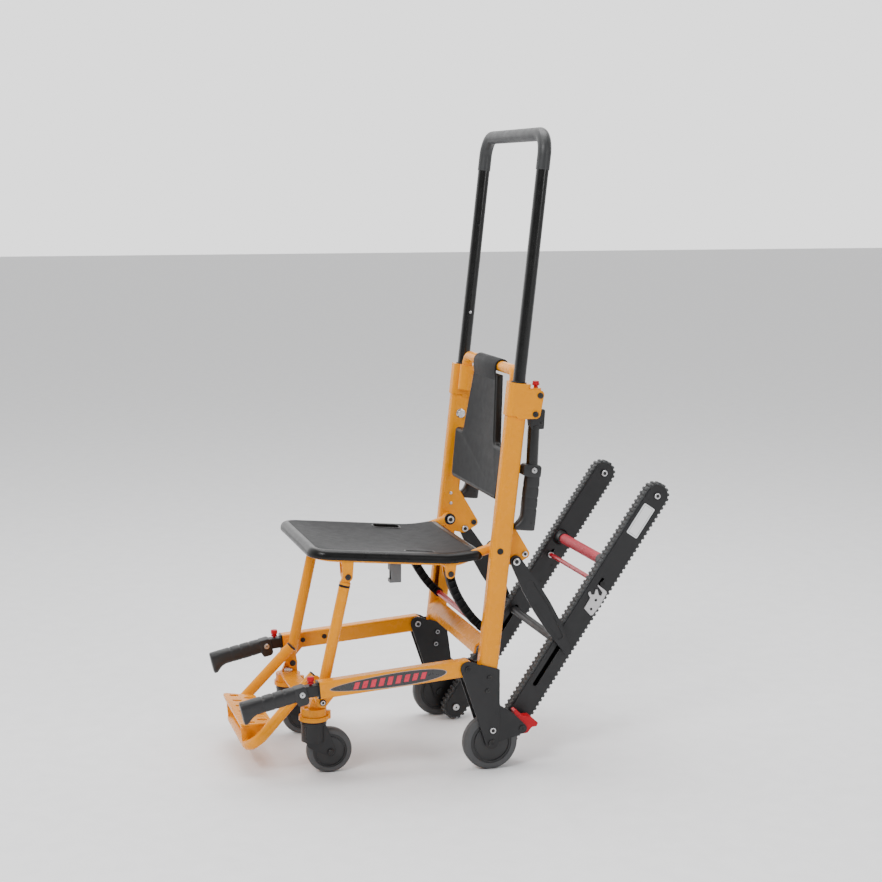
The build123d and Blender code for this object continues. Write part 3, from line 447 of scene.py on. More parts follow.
def seat_outline(d):
    """Plan outline of the seat, d in from its edge."""
    half, front, rear = SEAT_HALF - d, SEAT_FRONT + d, SEAT_REAR - d
    r = max(FRONT_CORNER - d, 3.0)
    tail = max(REAR_CORNER - d, 2.0)
    points = []
    for side in (1, -1):
        quarter = []
        for k in range(13):
            a = math.radians(90 * k / 12)
            quarter.append((half - r + r * math.cos(a), front + r - r * math.sin(a)))
        side_run = []
        for k in range(24):
            side_run.append((half, rear - tail + (front + r - rear + tail) * k / 24))
        heel = []
        for k in range(6):
            a = math.radians(90 * (1 - k / 6))
            heel.append((half - tail + tail * math.cos(a), rear - tail + tail * math.sin(a)))
        chain = [((half - tail) * k / 8, rear) for k in range(8)] + heel + side_run + quarter
        chain += [((half - r) * (1 - k / 8), front) for k in range(1, 8)]
        points += [(side * x, y) for x, y in (chain if side == 1 else reversed(chain[1:]))]
    return points


def seat_height(x, y):
    """Seat plane with a shallow dish and the raised rear edge."""
    rise = max((y + 100.0) / 92.0, 0.0)
    fade = min(max((y - SEAT_FRONT - 18) / 90, 0), 1) * min(max((-12 - y) / 80, 0), 1)
    dish = DISH_DEPTH * max(1 - (abs(x) / 184) ** 2.4, 0) * fade
    return seat_plane(y) + REAR_RISE * rise ** 1.6 - dish


def build_seat():
    """Seat shell from rings given as (distance in from the edge, drop, material slot)."""
    shape = Shape("seat_shell", [MOULDED, RIM])
    top = [(175, 0, 0), (140, 0, 0), (100, 0, 0), (62, 0, 0), (36, 0, 0), (24, 0.0, 0), (19, 0.3, 0)]
    rim = [(16, 1.3, 1), (13.5, 1.1, 1), (10, 1.6, 1), (6.5, 3.4, 1), (3.6, 6.2, 1), (1.4, 10.0, 1),
           (0.3, 14.5, 1), (0, 19.0, 1), (0.6, 21.4, 1), (2.0, 22.0, 1), (3.6, 21.4, 1)]
    underside = [(4.4, 19.0, 0), (5.0, 9.0, 0), (8.0, 4.6, 0), (40, 4.4, 0), (175, 4.4, 0)]
    ids = []
    for d, drop, slot in top + rim + underside:
        ids.append(shape.ring([(x, y, seat_height(x, y) - drop) for x, y in seat_outline(d)]))
        if len(ids) > 1:
            shape.skin(ids[-2], ids[-1], slot)
    shape.face(ids[0])
    shape.face(ids[-1][::-1])
    seat = shape.build("seat", 60)
    cut_hand_slots(seat)
    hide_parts("seat_pan")


def cut_hand_slots(seat):
    """Hand slot near each side, with a tray below and a raised lip round it."""
    cutter = Shape("slot_cutter", [RIM])
    lips = Shape("strap_slot_lips", [RIM])
    for side in (1, -1):
        x0, x1 = side * HAND_SLOT_X - HAND_SLOT_HALF, side * HAND_SLOT_X + HAND_SLOT_HALF
        y0, y1 = HAND_SLOT_Y
        hole = rounded([(x0, y0, 9), (x1, y0, 9), (x1, y1, 9), (x0, y1, 9)])
        cutter.loft([[(x, y, z) for x, y in hole] for z in (476.0, 512.0)])
        rings = []
        lip = [(1.2, -7.6), (0.2, -6.0), (0.2, 0.2), (-0.9, 1.3), (-2.6, 1.4), (-4.2, 0.3), (-4.6, -0.8)]
        for grow, lift in lip:
            edge = inset(hole, grow)
            rings.append([(x, y, seat_height(x, y) + lift) for x, y in edge])
        lips.loft(rings, 0, caps=False)
        tray = inset(hole, 1.0)
        lips.loft([[(x, y, seat_height(x, y) + lift) for x, y in tray] for lift in (-7.4, -8.0)], 0)
    knife = cutter.build("seat")
    cut = seat.modifiers.new("slots", "BOOLEAN")
    cut.operation, cut.object, cut.solver = "DIFFERENCE", knife, "EXACT"
    depsgraph = bpy.context.evaluated_depsgraph_get()
    old, new = seat.data, bpy.data.meshes.new_from_object(seat.evaluated_get(depsgraph))
    seat.modifiers.clear()
    seat.data = new
    bpy.data.meshes.remove(old)
    bpy.data.objects.remove(knife)
    lips.build("seat")


BACK_CORNERS = [(-184, 606, 12), (184, 606, 12), (192, 726, 9), (128, 726, 14), (88, 880, 1), (-88, 880, 1),
                (-128, 726, 14), (-192, 726, 9)]
BACK_FRONT = -12.0


def build_back():
    """Back panel with a rolled rim and a rearward flange, hooked over the top bar."""
    shape = Shape("back_shell", [MOULDED, BACK_RIM])
    profile = [(9.0, 0.2, 0), (6.5, -0.6, 1), (4.6, -0.3, 1), (2.4, 0.9, 1), (0.8, 3.0, 1), (0.0, 6.0, 1),
               (0.0, 15.0, 1), (0.5, 17.2, 1), (1.8, 18.0, 1), (3.2, 17.2, 1), (3.6, 15.0, 0), (3.8, 6.0, 0),
               (5.6, 3.6, 0), (9.0, 3.4, 0)]
    ids = []
    for d, depth, slot in profile:
        points = [on_upright(u, BACK_FRONT + depth, v) for u, v in shrunk(BACK_CORNERS, d)]
        ids.append(shape.ring(points))
        if len(ids) > 1:
            shape.skin(ids[-2], ids[-1], slot)
    shape.face(ids[0])
    shape.face(ids[-1][::-1])
    neck = ((862, 4.6), (868, 4.2), (875, 2.8), (882, 1.2), (889, 0.2))
    hook_path = [(push, along, None) for along, push in neck]
    hook_path += [(1.0, 899.0, a) for a in range(180, -41, -9)]
    add_hook(shape, hook_path)
    back = shape.build("frame", 50)
    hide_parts("backrest")


def add_hook(shape, path):
    """Strap-like hook of the neck round the bar: rounded at both of its edges."""
    outer, inner = BAR_R + 4.6, BAR_R + 0.5
    edges = [(-88, 1.6), (-87.2, 0.5), (-85.5, 0), (85.5, 0), (87.2, 0.5), (88, 1.6)]
    strips = []
    for depth, along, degrees in path:
        a = math.radians(degrees or 0)
        section = []
        for radius, sign in ((outer, -1), (inner, 1)):
            run = edges if sign == -1 else edges[::-1]
            for x, tuck in run:
                r = radius + sign * tuck
                if degrees is None:
                    section.append(on_upright(x, 1.0 - r + depth, along))
                else:
                    section.append(on_upright(x, depth + r * math.cos(a), along + r * math.sin(a)))
        strips.append(section)
    shape.loft(strips, 0)


# ---------------------------------------------------------------- hand grips
SQUARENESS = 3.0


def grip_ring(w, low, high, half):
    """Superellipse section of the grip at w, from u = low to u = high."""
    mid, reach = (low + high) / 2, (high - low) / 2
    ring = []
    for c, s in circle(36):
        ring.append((half * math.copysign(abs(c) ** (2 / SQUARENESS), c),
                     mid + reach * math.copysign(abs(s) ** (2 / SQUARENESS), s), w))
    return ring


# (distance from the bolt, low face, high face, half width) along the grip
GRIP_STATIONS = [(12, -15.5, 13.5, 13.5), (14, -18, 15, 15.2), (30, -18.8, 15.5, 15.6),
                 (90, -19.2, 15.5, 15.6), (104, -19.4, 15.8, 15.6), (114, -19.5, 19.5, 15.5),
                 (121, -19.6, 25, 15.3), (126, -19.6, 30, 15), (129, -19.6, 31.4, 15),
                 (133, -19.6, 31.4, 15), (135.2, -18.6, 30, 14), (136, -16.5, 27, 12)]
GROOVES = (38.0, 62.0, 86.0)


def grip_section(w):
    """Low, high and half width at w, with shallow grooves across the back."""
    for a, b in zip(GRIP_STATIONS, GRIP_STATIONS[1:]):
        if a[0] <= w <= b[0]:
            t = (w - a[0]) / (b[0] - a[0])
            low, high, half = [a[i] + t * (b[i] - a[i]) for i in (1, 2, 3)]
            break
    for centre in GROOVES:
        dip = math.exp(-((w - centre) / 2.2) ** 2)
        low += 1.7 * dip
        half -= 0.5 * dip
        high -= 0.7 * dip
    swell = math.sin(min(max((w - 14) / 90, 0), 1) * math.pi) * 0.6
    return low - swell * 0.3, high + swell, half


def build_grip(name, body, origin, turn, nose):
    """Grip whose w axis runs from the bolt to the tip; nose is 1 or -1 along its Y."""
    shape = Shape(name + "_rubber", [GRIP, STEEL, HOLE_SHADE_AND_BLACK_BOLT])
    rubber, steel, socket = range(3)

    def put(x, u, w):
        c, s, u = math.cos(turn), math.sin(turn), u * nose
        return (origin[0] + x, origin[1] + u * c + w * s, origin[2] + u * s - w * c)

    stations = sorted({s[0] for s in GRIP_STATIONS} | {w / 2 for w in range(32, 200, 3)})
    rings = []
    for w in stations:
        low, high, half = grip_section(w)
        rings.append([put(x, u, v) for x, u, v in grip_ring(w, low, high, half)])
    shape.loft(rings, rubber)
    collar = rounded([(-17, -12.5, 8), (25, -12.5, 9), (25, 12, 5), (15, 15.5, 4), (-17, 15.5, 5)])
    slab(shape, collar, -16, 16, 2.6, rubber, put)
    for way in (1, -1):
        centre = (origin[0] + way * 16, origin[1], origin[2])
        ring_bolt(shape, centre, way, 6.6, 2.2, steel, steel, socket)
        # a small dark disc on each side of the grip, painted shade of a hole
        spot = put(way * 15.2, -6, 118)
        lathe_x(shape, spot, [(-0.3, 1.5), (0.25, 1.5)], way, socket, 12)
    made = shape.build(body, 42)
    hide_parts(name)


def build_grips():
    lean = math.atan2(8.0, 96.0) + math.radians(1.5)
    ends = (("front", (-429, 203), math.radians(-77), 1), ("rear", (97, 676), -lean, -1))
    for side, word in ((1, "left"), (-1, "right")):
        for end, place, turn, nose in ends:
            handle = f"{word}_{end}_handle"
            build_grip(handle + "_grip", handle, (side * UPRIGHT_X, *place), turn, nose)


# ---------------------------------------------------------------- tracks
TEETH = 133
BELT_BASE, BELT_TIP, BELT_INNER = 27.4, 31.0, 22.4
BELT_HALF = 13.0


def belt_point(s, height):
    """Point on the stadium round both pulleys: s along the pitch line, height from its centre line."""
    arc = math.pi * BELT_BASE
    loop = 2 * TRACK_LENGTH + 2 * arc
    s %= loop
    if s < TRACK_LENGTH:
        return (s, height)
    s -= TRACK_LENGTH
    if s < arc:
        a = math.pi / 2 - s / BELT_BASE
        return (TRACK_LENGTH + height * math.cos(a), height * math.sin(a))
    s -= arc
    if s < TRACK_LENGTH:
        return (TRACK_LENGTH - s, -height)
    a = -math.pi / 2 - (s - TRACK_LENGTH) / BELT_BASE
    return (height * math.cos(a), height * math.sin(a))


def build_belts():
    loop = 2 * TRACK_LENGTH + 2 * math.pi * BELT_BASE
    pitch = loop / TEETH
    tooth = [(0.0, BELT_BASE), (0.16, BELT_BASE), (0.27, BELT_TIP - 0.5), (0.33, BELT_TIP), (0.68, BELT_TIP),
             (0.74, BELT_TIP - 0.5), (0.85, BELT_BASE)]
    across = [(-BELT_HALF, 1.0), (-BELT_HALF + 0.8, 0.0), (-1.6, 0.0), (-1.2, 1.4), (1.2, 1.4), (1.6, 0.0),
              (BELT_HALF - 0.8, 0.0), (BELT_HALF, 1.0)]
    shape = Shape("toothed_belts", [BELT])
    for side in (1, -1):
        rings = []
        for i in range(TEETH):
            for part, height in tooth:
                s = (i + part) * pitch
                raised = height > BELT_BASE
                section = []
                for x, tuck in across:
                    along, out = belt_point(s, height - (tuck if raised or abs(x) > 5 else 0))
                    section.append(on_track(side * (TRACK_X + x), along, out))
                low = belt_point(s, BELT_INNER)
                section += [on_track(side * (TRACK_X + x), *low) for x in (BELT_HALF, -BELT_HALF)]
                rings.append(section)
        ids = [shape.ring(r) for r in rings]
        for a, b in zip(ids, ids[1:] + ids[:1]):
            shape.skin(a, b)
    made = shape.build("tracks", 30)
    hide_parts("track_belts")


def track_outline(points):
    return [on_track(0, u, v)[1:] for u, v in points]


def build_track_trim():
    """Label, screws and small holes on the track plates, the holes being dark discs of painted shade, and
    dark collars on the grip bar.
    """
    shape = Shape("track_trim", [LABEL, OXIDE, HOLE_SHADE_AND_BLACK_BOLT, STEEL, BLACK, DECAL_GREY])
    film, oxide, socket, steel, black, grey = range(6)
    inside = TRACK_INNER - 4
    label = rounded([(572, -17, 3), (572, 13, 3), (651, 13, 3), (651, -17, 3)])
    border = rounded([(575, -14, 2), (575, 10, 2), (648, 10, 2), (648, -14, 2)])
    inner = rounded([(576, -13, 1.5), (576, 9, 1.5), (647, 9, 1.5), (647, -13, 1.5)])

    def draw(side):
        face = side * TRACK_OUTER
        slab(shape, track_outline(label), face, face + side * 0.35, 0, film)
        slab(shape, track_outline(border), face + side * 0.3, face + side * 0.42, 0, grey)
        slab(shape, track_outline(inner), face + side * 0.3, face + side * 0.5, 0, film)
        for u, v in ((381, 10), (404, 8)):
            y, z = on_track(0, u, v)[1:]
            button_bolt(shape, (side * 195.8, y, z), side, 3.2, 1.0, oxide, socket)
        # two holes in the outer face, drawn as dark discs of painted shade
        for u, v, r in ((443, 2, 6.0), (662, -13, 2.0)):
            y, z = on_track(0, u, v)[1:]
            lathe_x(shape, (face, y, z), [(-1.5, r), (0.25, r)], side, socket, 24)
        y, z = on_track(0, TRACK_LENGTH, 0)[1:]
        ring_bolt(shape, (side * 195, y, z), side, 7.0, 1.6, steel, oxide, socket)
        ring_bolt(shape, (side * inside, y, z), -side, 7.6, 2.4, steel, oxide, socket)
        y, z = on_track(0, 490, -7)[1:]
        lathe_x(shape, (side * inside, y, z), [(0, 19), (3, 19.4), (3.9, 18.6), (3.9, 12)], side, black, 40)
        lathe_x(shape, (side * 132, y, z), [(-1.5, 13), (0, 15.2), (23, 15.2), (25, 17)], side, black, 40)
        y, z = on_track(0, 440, -4)[1:]
        lathe_x(shape, (side * 156, y, z), [(-1, 6.2), (0, 7.6), (4.6, 7.6)], side, steel, 28)
        # three holes in the inner face, drawn as dark discs of painted shade
        for u, v in ((372, 12), (352, -14), (420, 13)):
            y, z = on_track(0, u, v)[1:]
            lathe_x(shape, (side * TRACK_INNER, y, z), [(-0.25, 3.0), (1.0, 3.0)], side, socket, 18)
        y, z = TRACK_FOOT
        ring_bolt(shape, (side * inside, y, z), -side, 8.2, 2.4, steel, steel, socket)

    both_sides(draw)
    shape.build("tracks")


# ---------------------------------------------------------------- brace arms
def build_brace():
    """Curved arms: two flanges, a thin web and cross ribs."""
    shape = Shape("ribbed_brace_arms", [MOULDED, RIM])
    bend = [BRACE_TOP, (-78, 421), (-66, 392), (-48, 362), (-28, 336), (-9, 318)]
    path = spline(bend, 8)
    half = 9.6

    def draw(side):
        x0, x1 = side * 176, side * 194
        left, right = [], []
        for i, (y, z) in enumerate(path):
            ahead, behind = path[min(i + 1, len(path) - 1)], path[max(i - 1, 0)]
            run = Vector((ahead[0] - behind[0], ahead[1] - behind[1])).normalized()
            left.append((y - run.y * half, z + run.x * half))
            right.append((y + run.y * half, z - run.x * half))
        for outer, inward in ((left, 1), (right, -1)):
            flange = outer + [(y + s[0] * 2.8, z + s[1] * 2.8) for (y, z), s in
                              reversed(list(zip(outer, toward(outer, left if inward < 0 else right))))]
            slab(shape, flange, min(x0, x1), max(x0, x1), 0, 0)
        web = left + right[::-1]
        slab(shape, web, side * 185 - 1.5, side * 185 + 1.5, 0, 0)
        for i in range(3, len(path) - 2, 4):
            a, b = Vector(left[i]), Vector(right[i])
            run = (b - a).normalized()
            off = Vector((-run.y, run.x)) * 1.3
            rib = [tuple(a + run + off), tuple(a + run - off), tuple(b - run - off), tuple(b - run + off)]
            slab(shape, rib, min(x0, x1) + 1.2, max(x0, x1) - 1.2, 0, 0)
        for (y, z), r in ((bend[0], 9.6), (bend[-1], 10.6)):
            lathe_x(shape, (x0, y, z), [(0, r - 1), (1, r), (17, r), (18, r - 1)], side, 0, 32)
        lathe_x(shape, (x1 - side, *bend[-1]), [(0, 7), (12.4, 7), (12.8, 6.4)], side, 1, 24)

    both_sides(draw)
    made = shape.build("brace")
    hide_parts("brace_arms")


def toward(line, other):
    """Unit directions from each point of a line to its partner."""
    ways = []
    for a, b in zip(line, other):
        way = (Vector(b) - Vector(a)).normalized()
        ways.append((way.x, way.y))
    return ways


def spline(points, steps):
    """Catmull-Rom curve through 2-D points."""
    padded = [points[0], *points, points[-1]]
    curve = []
    for i in range(1, len(padded) - 2):
        p = [Vector(q) for q in padded[i - 1:i + 3]]
        for k in range(steps):
            t = k / steps
            q = 0.5 * (2 * p[1] + (p[2] - p[0]) * t + (2 * p[0] - 5 * p[1] + 4 * p[2] - p[3]) * t * t
                       + (3 * p[1] - p[0] - 3 * p[2] + p[3]) * t ** 3)
            curve.append((q.x, q.y))
    curve.append(tuple(points[-1]))
    return curve


# ---------------------------------------------------------------- bolts, collars and decals
def build_frame_trim():
    """Bolts, rivets, pivot bushes and the handle tubes' collars on the main frame."""
    shape = Shape("frame_fasteners", [STEEL, OXIDE, HOLE_SHADE_AND_BLACK_BOLT, RIM])
    steel, oxide, socket, rim = range(4)

    def draw(side):
        button_bolt(shape, (side * PLATE_OUTER, *RAIL_PIVOT), side, 6.7, 3.4, oxide, socket)
        for y, z in ((-6, 214), (-10, 184)):
            button_bolt(shape, (side * PLATE_OUTER, y, z), side, 5.2, 2.9, oxide, socket)
            ring_bolt(shape, (side * 202.6, y, z), -side, 5.6, 2.4, steel, oxide, socket)
        ring_bolt(shape, (side * 202.0, *RAIL_PIVOT), -side, 7.4, 2.6, steel, oxide, socket)
        ring_bolt(shape, (side * PLATE_OUTER, 2, 92), side, 7.2, 3.0, steel, oxide, socket)
        button_bolt(shape, (side * PLATE_OUTER, 0, 62.5), side, 8.2, 3.3, oxide, socket)
        button_bolt(shape, (side * 242.2, 72, 90), side, 7.2, 3.1, oxide, socket)
        # this bolt head is plain black, drawn in the near-black also used for the painted hole shade
        button_bolt(shape, (side * 242.0, *SEAT_PIVOT), side, 7.2, 1.6, socket, socket)
        ring_bolt(shape, (side * 219.0, *STRUT_PIVOT), side, 8.4, 1.6, steel, oxide, socket)
        ring_bolt(shape, (side * 211.5, *GUSSET_BOLT), side, 6.4, 1.2, steel, oxide, socket)
        ring_bolt(shape, (side * 201.6, *GUSSET_BOLT), -side, 6.4, 1.6, oxide, oxide, socket)
        ring_bolt(shape, (side * 201.6, *STRUT_PIVOT), -side, 7.6, 1.6, steel, oxide, socket)
        for y, z in ((28, 533), (28, 558)):
            rivet = [(-0.4, 3.8), (0.5, 3.7), (1.0, 2.8), (1.3, 1.2)]
            lathe_x(shape, (side * 203.2, y, z), rivet, -side, steel, 20)
        bush = [(-1.4, 12.8), (-0.6, 13.6), (6, 13.6), (6.8, 13.1)]
        lathe_x(shape, (side * 176.5, *SEAT_PIVOT), bush, side, rim, 36)
        ring_bolt(shape, (side * 171.6, *SEAT_PIVOT), -side, 8.6, 2.4, steel, oxide, socket)
        for y, z in EAR_BOLTS:
            button_bolt(shape, (side * 248.0, y, z), side, 6.6, 0.7, oxide, socket)
            button_bolt(shape, (side * 202.5, y, z), -side, 6.7, 2.0, oxide, socket)
        y, z = on_upright(0, -8, 846)[1:]
        button_bolt(shape, (side * 204.0, y, z), -side, 5.0, 1.2, oxide, socket)
        y, z = on_upright(0, 2, 757)[1:]
        lathe_x(shape, (side * 207.9, y, z), [(0, 11), (2.2, 11), (2.8, 10), (2.8, 5.2)], -side, steel, 32)
        collar_on_upright(shape, side, rim)

    both_sides(draw)
    shape.build("frame")


def collar_on_upright(shape, side, slot):
    """Black plastic bush where the handle tube enters the casting, in three stepped rings."""
    rings = []
    for along, radius in ((874.0, 17.5), (877.6, 17.5), (878.6, 16.6), (878.6, 14.4), (874.0, 14.4)):
        rings.append([on_upright(side * UPRIGHT_X + u, v, along) for u, v in circle(40, radius)])
    shape.loft(rings, slot, caps=False)


def build_rail_trim():
    """Mouth collar, bolts, two holes drawn as dark discs of painted shade, and the plain dark oval on each
    side rail.
    """
    shape = Shape("rail_trim", [RIM, OXIDE, HOLE_SHADE_AND_BLACK_BOLT, DECAL, DECAL_RED, DECAL_GREY, STEEL])
    rim, oxide, socket, film, red, grey, steel = range(7)
    collar = ((-1.0, 15.6, 19.1), (2.6, 15.6, 19.1), (3.4, 14.8, 18.3), (3.4, 12.9, 12.9), (-1.0, 12.9, 12.9))

    def draw(side):
        rings = []
        for forward, half_x, half_z in collar:
            corners = ((-half_x, -half_z, 4), (half_x, -half_z, 4), (half_x, half_z, 4), (-half_x, half_z, 4))
            section = rounded(corners)
            rings.append([on_rail(side * UPRIGHT_X + u, RAIL_END + forward, v) for u, v in section])
        shape.loft(rings, rim, caps=False)
        # holes in the rail, drawn as dark discs of painted shade
        for forward, face in ((287, 205.2), (233, 209.5)):
            y, z = on_rail(0, forward, 1.5)[1:]
            lathe_x(shape, (side * face, y, z), [(-0.5, 6.0), (0.4, 6.0), (1.0, 5.0)], -side, socket, 24)
        draw_decal(shape, side, film, red, grey)
        ring_bolt(shape, (side * 212.6, *LEG_FOOT), side, 5.2, 2.0, steel, oxide, socket)

    both_sides(draw)
    shape.build("rails")


def draw_decal(shape, side, film, red, grey):
    """Elongated dark oval with a pale outline and slanted red bars."""
    face = side * 240.5

    def patch(points, lift, thick, slot):
        outline = [on_rail(0, f, u)[1:] for f, u in points]
        slab(shape, outline, face + side * lift, face + side * (lift + thick), 0, slot)

    def oval(length, height):
        return [(181.0 + length * c, height * s * (1 - 0.25 * c)) for c, s in circle(56)]

    patch(oval(133, 15.6), 0.0, 0.22, grey)
    patch(oval(131, 14.6), 0.15, 0.25, film)
    for i in range(9):
        start = 262 - i * 19
        tall = 9.0 - 0.45 * abs(i - 4)
        bar = [(start, -tall), (start - 11, -tall), (start - 17, tall), (start - 6, tall)]
        patch(bar, 0.32, 0.22, red)


def build_lock_buttons():
    """Red push buttons on the castings: a wide cap over a round stem."""
    for side, word in ((1, "left"), (-1, "right")):
        shape = Shape(word + "_lock_button_cap", [RED])
        profile = [(852, 4.6), (864.2, 4.6), (864.4, 7.2), (865.2, 7.8), (868.5, 7.8), (869.2, 7.2),
                   (872.6, 7.0), (873.6, 6.4), (874, 5.0)]
        rings = [[(side * UPRIGHT_X + u, 104 + v, z) for u, v in circle(32, r)] for z, r in profile]
        shape.loft(rings)
        made = shape.build(word + "_lock_button")
        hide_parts(word + "_lock_button")


def build_handle_trim():
    """Button holes in the inner faces of the upper handle's legs: the upper one a dark disc of painted shade,
    the lower one steel.
    """
    shape = Shape("handle_button_holes", [HOLE_SHADE_AND_BLACK_BOLT, STEEL])

    def draw(side):
        for along, slot in ((1212, 0), (1003, 1)):
            y, z = on_upright(0, 0, along)[1:]
            lathe_x(shape, (side * 211.3, y, z), [(-0.6, 3.6), (0.5, 3.4), (0.8, 2.0)], -side, slot, 20)

    both_sides(draw)
    shape.build("upper_handle")


def build_plunger_knobs():
    """Plunger knobs on the front handle tubes: a thin stem under a two-tier head."""
    profile = [(-6, 3), (3.5, 3), (3.7, 7), (6.6, 7.2), (7.2, 5.2), (8.8, 5), (9.6, 8), (17, 8),
               (18.6, 7.4), (19, 6)]
    for side, word in ((1, "left"), (-1, "right")):
        shape = Shape(word + "_plunger", [RED])
        x, y, z = on_rail(side * UPRIGHT_X, RAIL_END + 16.6, LIFT_TUBE_HALF)
        shape.loft([[(x + u, y + v, z + h) for u, v in circle(32, r)] for h, r in profile])
        made = shape.build(word + "_plunger_knob")
        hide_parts(word + "_plunger_knob")


def build_rear_arms():
    """Stowed arm of each rear lift handle: a square-shouldered bracket over a round tube."""
    for side, word in ((1, "left"), (-1, "right")):
        shape = Shape(word + "_rear_arm", [BLACK, GLOSS, OXIDE])
        black, gloss, oxide = range(3)
        block = rounded([(86, 800, 9), (90, 768, 3), (120, 767, 3), (123, 811, 4), (108, 812, 4),
                         (97, 815, 9)])
        low, high = sorted((side * 213.6, side * 236.4))
        slab(shape, block, low, high, 1.0, black)
        rings = []
        for y, z, r in ((100.5, 775, 13.2), (99.4, 763, 13.2), (96, 684, 13.2), (96, 676, 13.2)):
            rings.append([(side * UPRIGHT_X + u, y + v, z) for u, v in circle(36, r)])
        shape.loft(rings, gloss)
        for way, face in ((1, high), (-1, low)):
            lathe_x(shape, (face, 114, 779), [(-0.4, 4.0), (0.8, 4.0), (1.2, 3.2)], way, oxide, 20)
        made = shape.build(word + "_rear_handle")
        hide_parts(word + "_rear_handle_arm")


def build_caster_trim():
    """Band, axle bolts and stem nuts of the casters."""
    for side, word in ((1, "left"), (-1, "right")):
        shape = Shape(word + "_caster_trim", [BLACK, OXIDE, HOLE_SHADE_AND_BLACK_BOLT])
        black, oxide, socket = range(3)
        for way in (1, -1):
            at = (side * CASTER_X + way * 22.2, *CASTER_AXLE)
            button_bolt(shape, at, way, 6.8, 3.4, oxide, socket)
        bands = []
        for z, r in ((112, 28.1), (113, 29.0), (118, 29.0), (119, 28.1)):
            bands.append([(side * CASTER_X + u, CASTER_STEM_Y + v, z) for u, v in circle(48, r)])
        shape.loft(bands, black, caps=False)
        shape.build(word + "_caster")
    nuts = Shape("caster_stem_nuts", [STEEL])
    for side in (1, -1):
        for z0, z1, r, count in ((150, 151.5, 13, 32), (151.5, 160, 10.5, 6), (160, 161.8, 6, 24)):
            outline = [(side * CASTER_X + u, CASTER_STEM_Y + v) for u, v in circle(count, r)]
            nuts.loft([[(x, y, z) for x, y in outline] for z in (z0, z1)])
    nuts.build("front_frame")


def build_seat_trim():
    """Socket heads on the seat brackets and black bushes near the tops of the front legs."""
    shape = Shape("seat_fasteners", [OXIDE, HOLE_SHADE_AND_BLACK_BOLT])
    oxide, socket = range(2)

    def draw(side):
        for y, z in (LEG_TOP, BRACE_TOP):
            for face, way in ((200.6, side), (167.4, -side)):
                button_bolt(shape, (side * face, y, z), way, 6.8, 1.6, oxide, socket)

    both_sides(draw)
    shape.build("seat")
    caps = Shape("leg_and_pivot_trim", [RIM])
    leg = Vector(LEG_TOP) - Vector(LEG_FOOT)
    run = leg.normalized()
    bush = ((25, 12.9), (21, 12.9), (19.5, 12.2), (19.5, 9))

    def draw_caps(side):
        rings = []
        for below_top, r in bush:
            y, z = Vector(LEG_FOOT) + run * (leg.length - below_top)
            rings.append([(side * 184 + u, y - run.y * v, z + run.x * v) for u, v in circle(32, r)])
        caps.loft(rings, 0)

    both_sides(draw_caps)
    caps.build("front_frame")


def build_footrest_trim():
    """Black end caps in the tops of the footrest arms, and the hinge bolts."""
    shape = Shape("footrest_caps", [RIM, OXIDE, HOLE_SHADE_AND_BLACK_BOLT])
    rim, oxide, socket = range(3)

    def draw(side):
        top, low = [Vector((side * x, y, z)) for x, y, z in (FOOTREST_TOP, FOOTREST_LOW)]
        run = (top - low).normalized()
        across = run.cross(Vector((1, 0, 0))).normalized()
        flat = across.cross(run)
        rings = []
        for along, r in ((-0.5, 12.8), (1.6, 12.8), (2.8, 11.6), (3.2, 8.0)):
            centre = top + run * along
            rings.append([tuple(centre + flat * u + across * v) for u, v in circle(36, r)])
        shape.loft(rings, rim)
        button_bolt(shape, (side * 145, *LEG_FOOT), -side, 7.2, 3.0, oxide, socket)

    both_sides(draw)
    shape.build("footrest")


# ---------------------------------------------------------------- studio
def area_light(name, place, target, size, power):
    lamp = bpy.data.lights.new(name, "AREA")
    lamp.shape, lamp.size, lamp.size_y = "RECTANGLE", size[0], size[1]
    lamp.energy = power
    made = bpy.data.objects.new(name, lamp)
    made.location = place
    made.rotation_euler = (Vector(target) - Vector(place)).to_track_quat("-Z", "Y").to_euler()
    bpy.context.scene.collection.objects.link(made)


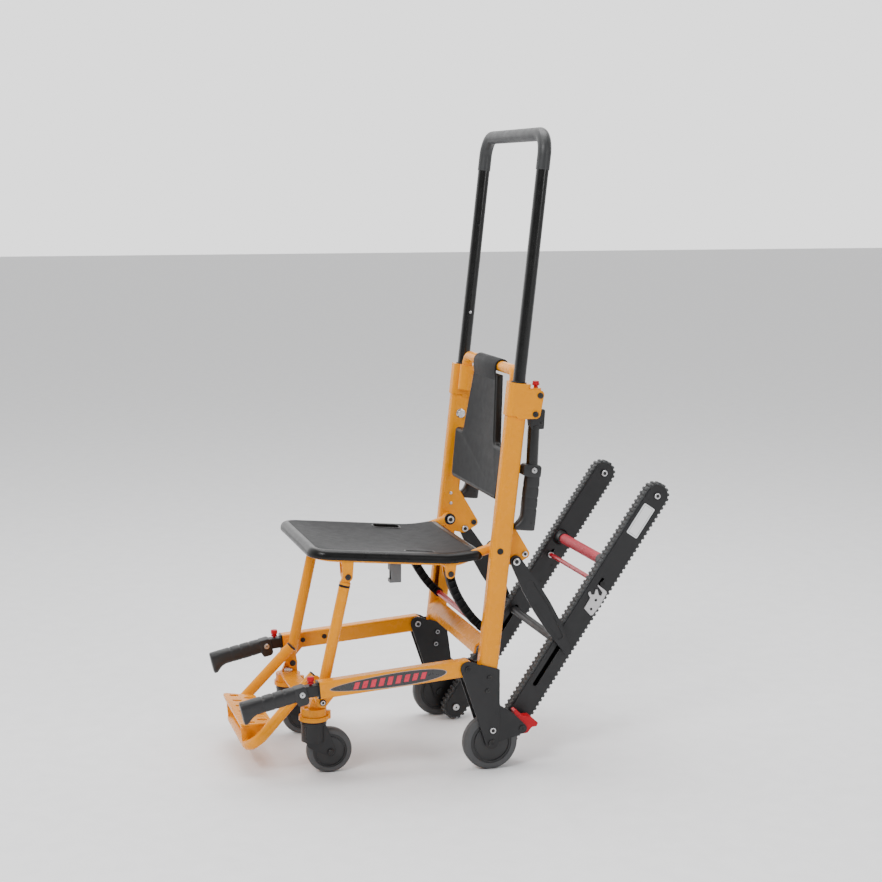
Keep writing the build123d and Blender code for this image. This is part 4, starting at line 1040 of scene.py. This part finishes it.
def build_studio():
    bpy.ops.mesh.primitive_plane_add(size=60, location=(0, 0, 0))
    floor = bpy.context.object
    floor.name = "studio_floor"
    paper = finish("studio floor", (0.86, 0.86, 0.87), (0.90, 0.90, 0.91), (0.7, 0.8), 40, 0.02, edge=0)
    floor.data.materials.append(paper)
    world = bpy.data.worlds.new("studio")
    bpy.context.scene.world = world
    world.use_nodes = True
    back = world.node_tree.nodes["Background"]
    back.inputs["Color"].default_value = (1, 1, 1, 1)
    tree = world.node_tree
    split = node(tree, "ShaderNodeSeparateXYZ")
    tree.links.new(node(tree, "ShaderNodeTexCoord").outputs["Generated"], split.inputs["Vector"])
    fade = node(tree, "ShaderNodeMapRange", interpolation_type="SMOOTHSTEP")
    fade.inputs["From Min"].default_value = -0.75
    fade.inputs["From Max"].default_value = 0.35
    fade.inputs["To Min"].default_value = 1.9
    fade.inputs["To Max"].default_value = 0.22
    tree.links.new(split.outputs["X"], fade.inputs["Value"])
    tree.links.new(fade.outputs["Result"], back.inputs["Strength"])
    area_light("key", (3.0, -3.0, 4.0), (0, 0, 0.5), (1.8, 1.8), 170)
    area_light("side", (4.2, 2.6, 2.4), (0, 0, 0.6), (0.8, 2.6), 60)
    area_light("top", (-0.6, 0.2, 4.2), (0, 0, 0.4), (3.0, 3.0), 150)


LENS_MM = 76.7347


def build_camera():
    lens = bpy.data.cameras.new("camera")
    lens.sensor_width, lens.lens = 36.0, LENS_MM
    lens.clip_start, lens.clip_end = 0.05, 100
    camera = bpy.data.objects.new("camera", lens)
    camera.location = (4.154, -1.112, 1.309)
    forward = Vector((-0.956, 0.2587, -0.1366))
    camera.rotation_mode = "QUATERNION"
    camera.rotation_quaternion = forward.to_track_quat("-Z", "Y")
    bpy.context.scene.collection.objects.link(camera)
    bpy.context.scene.camera = camera


def main():
    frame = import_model()
    dress_nodes(frame["nodes"])
    build_seat()
    build_back()
    build_grips()
    build_belts()
    build_track_trim()
    build_brace()
    build_frame_trim()
    build_rail_trim()
    build_lock_buttons()
    build_handle_trim()
    build_rear_arms()
    build_plunger_knobs()
    build_caster_trim()
    build_seat_trim()
    build_footrest_trim()
    build_studio()
    build_camera()


main()
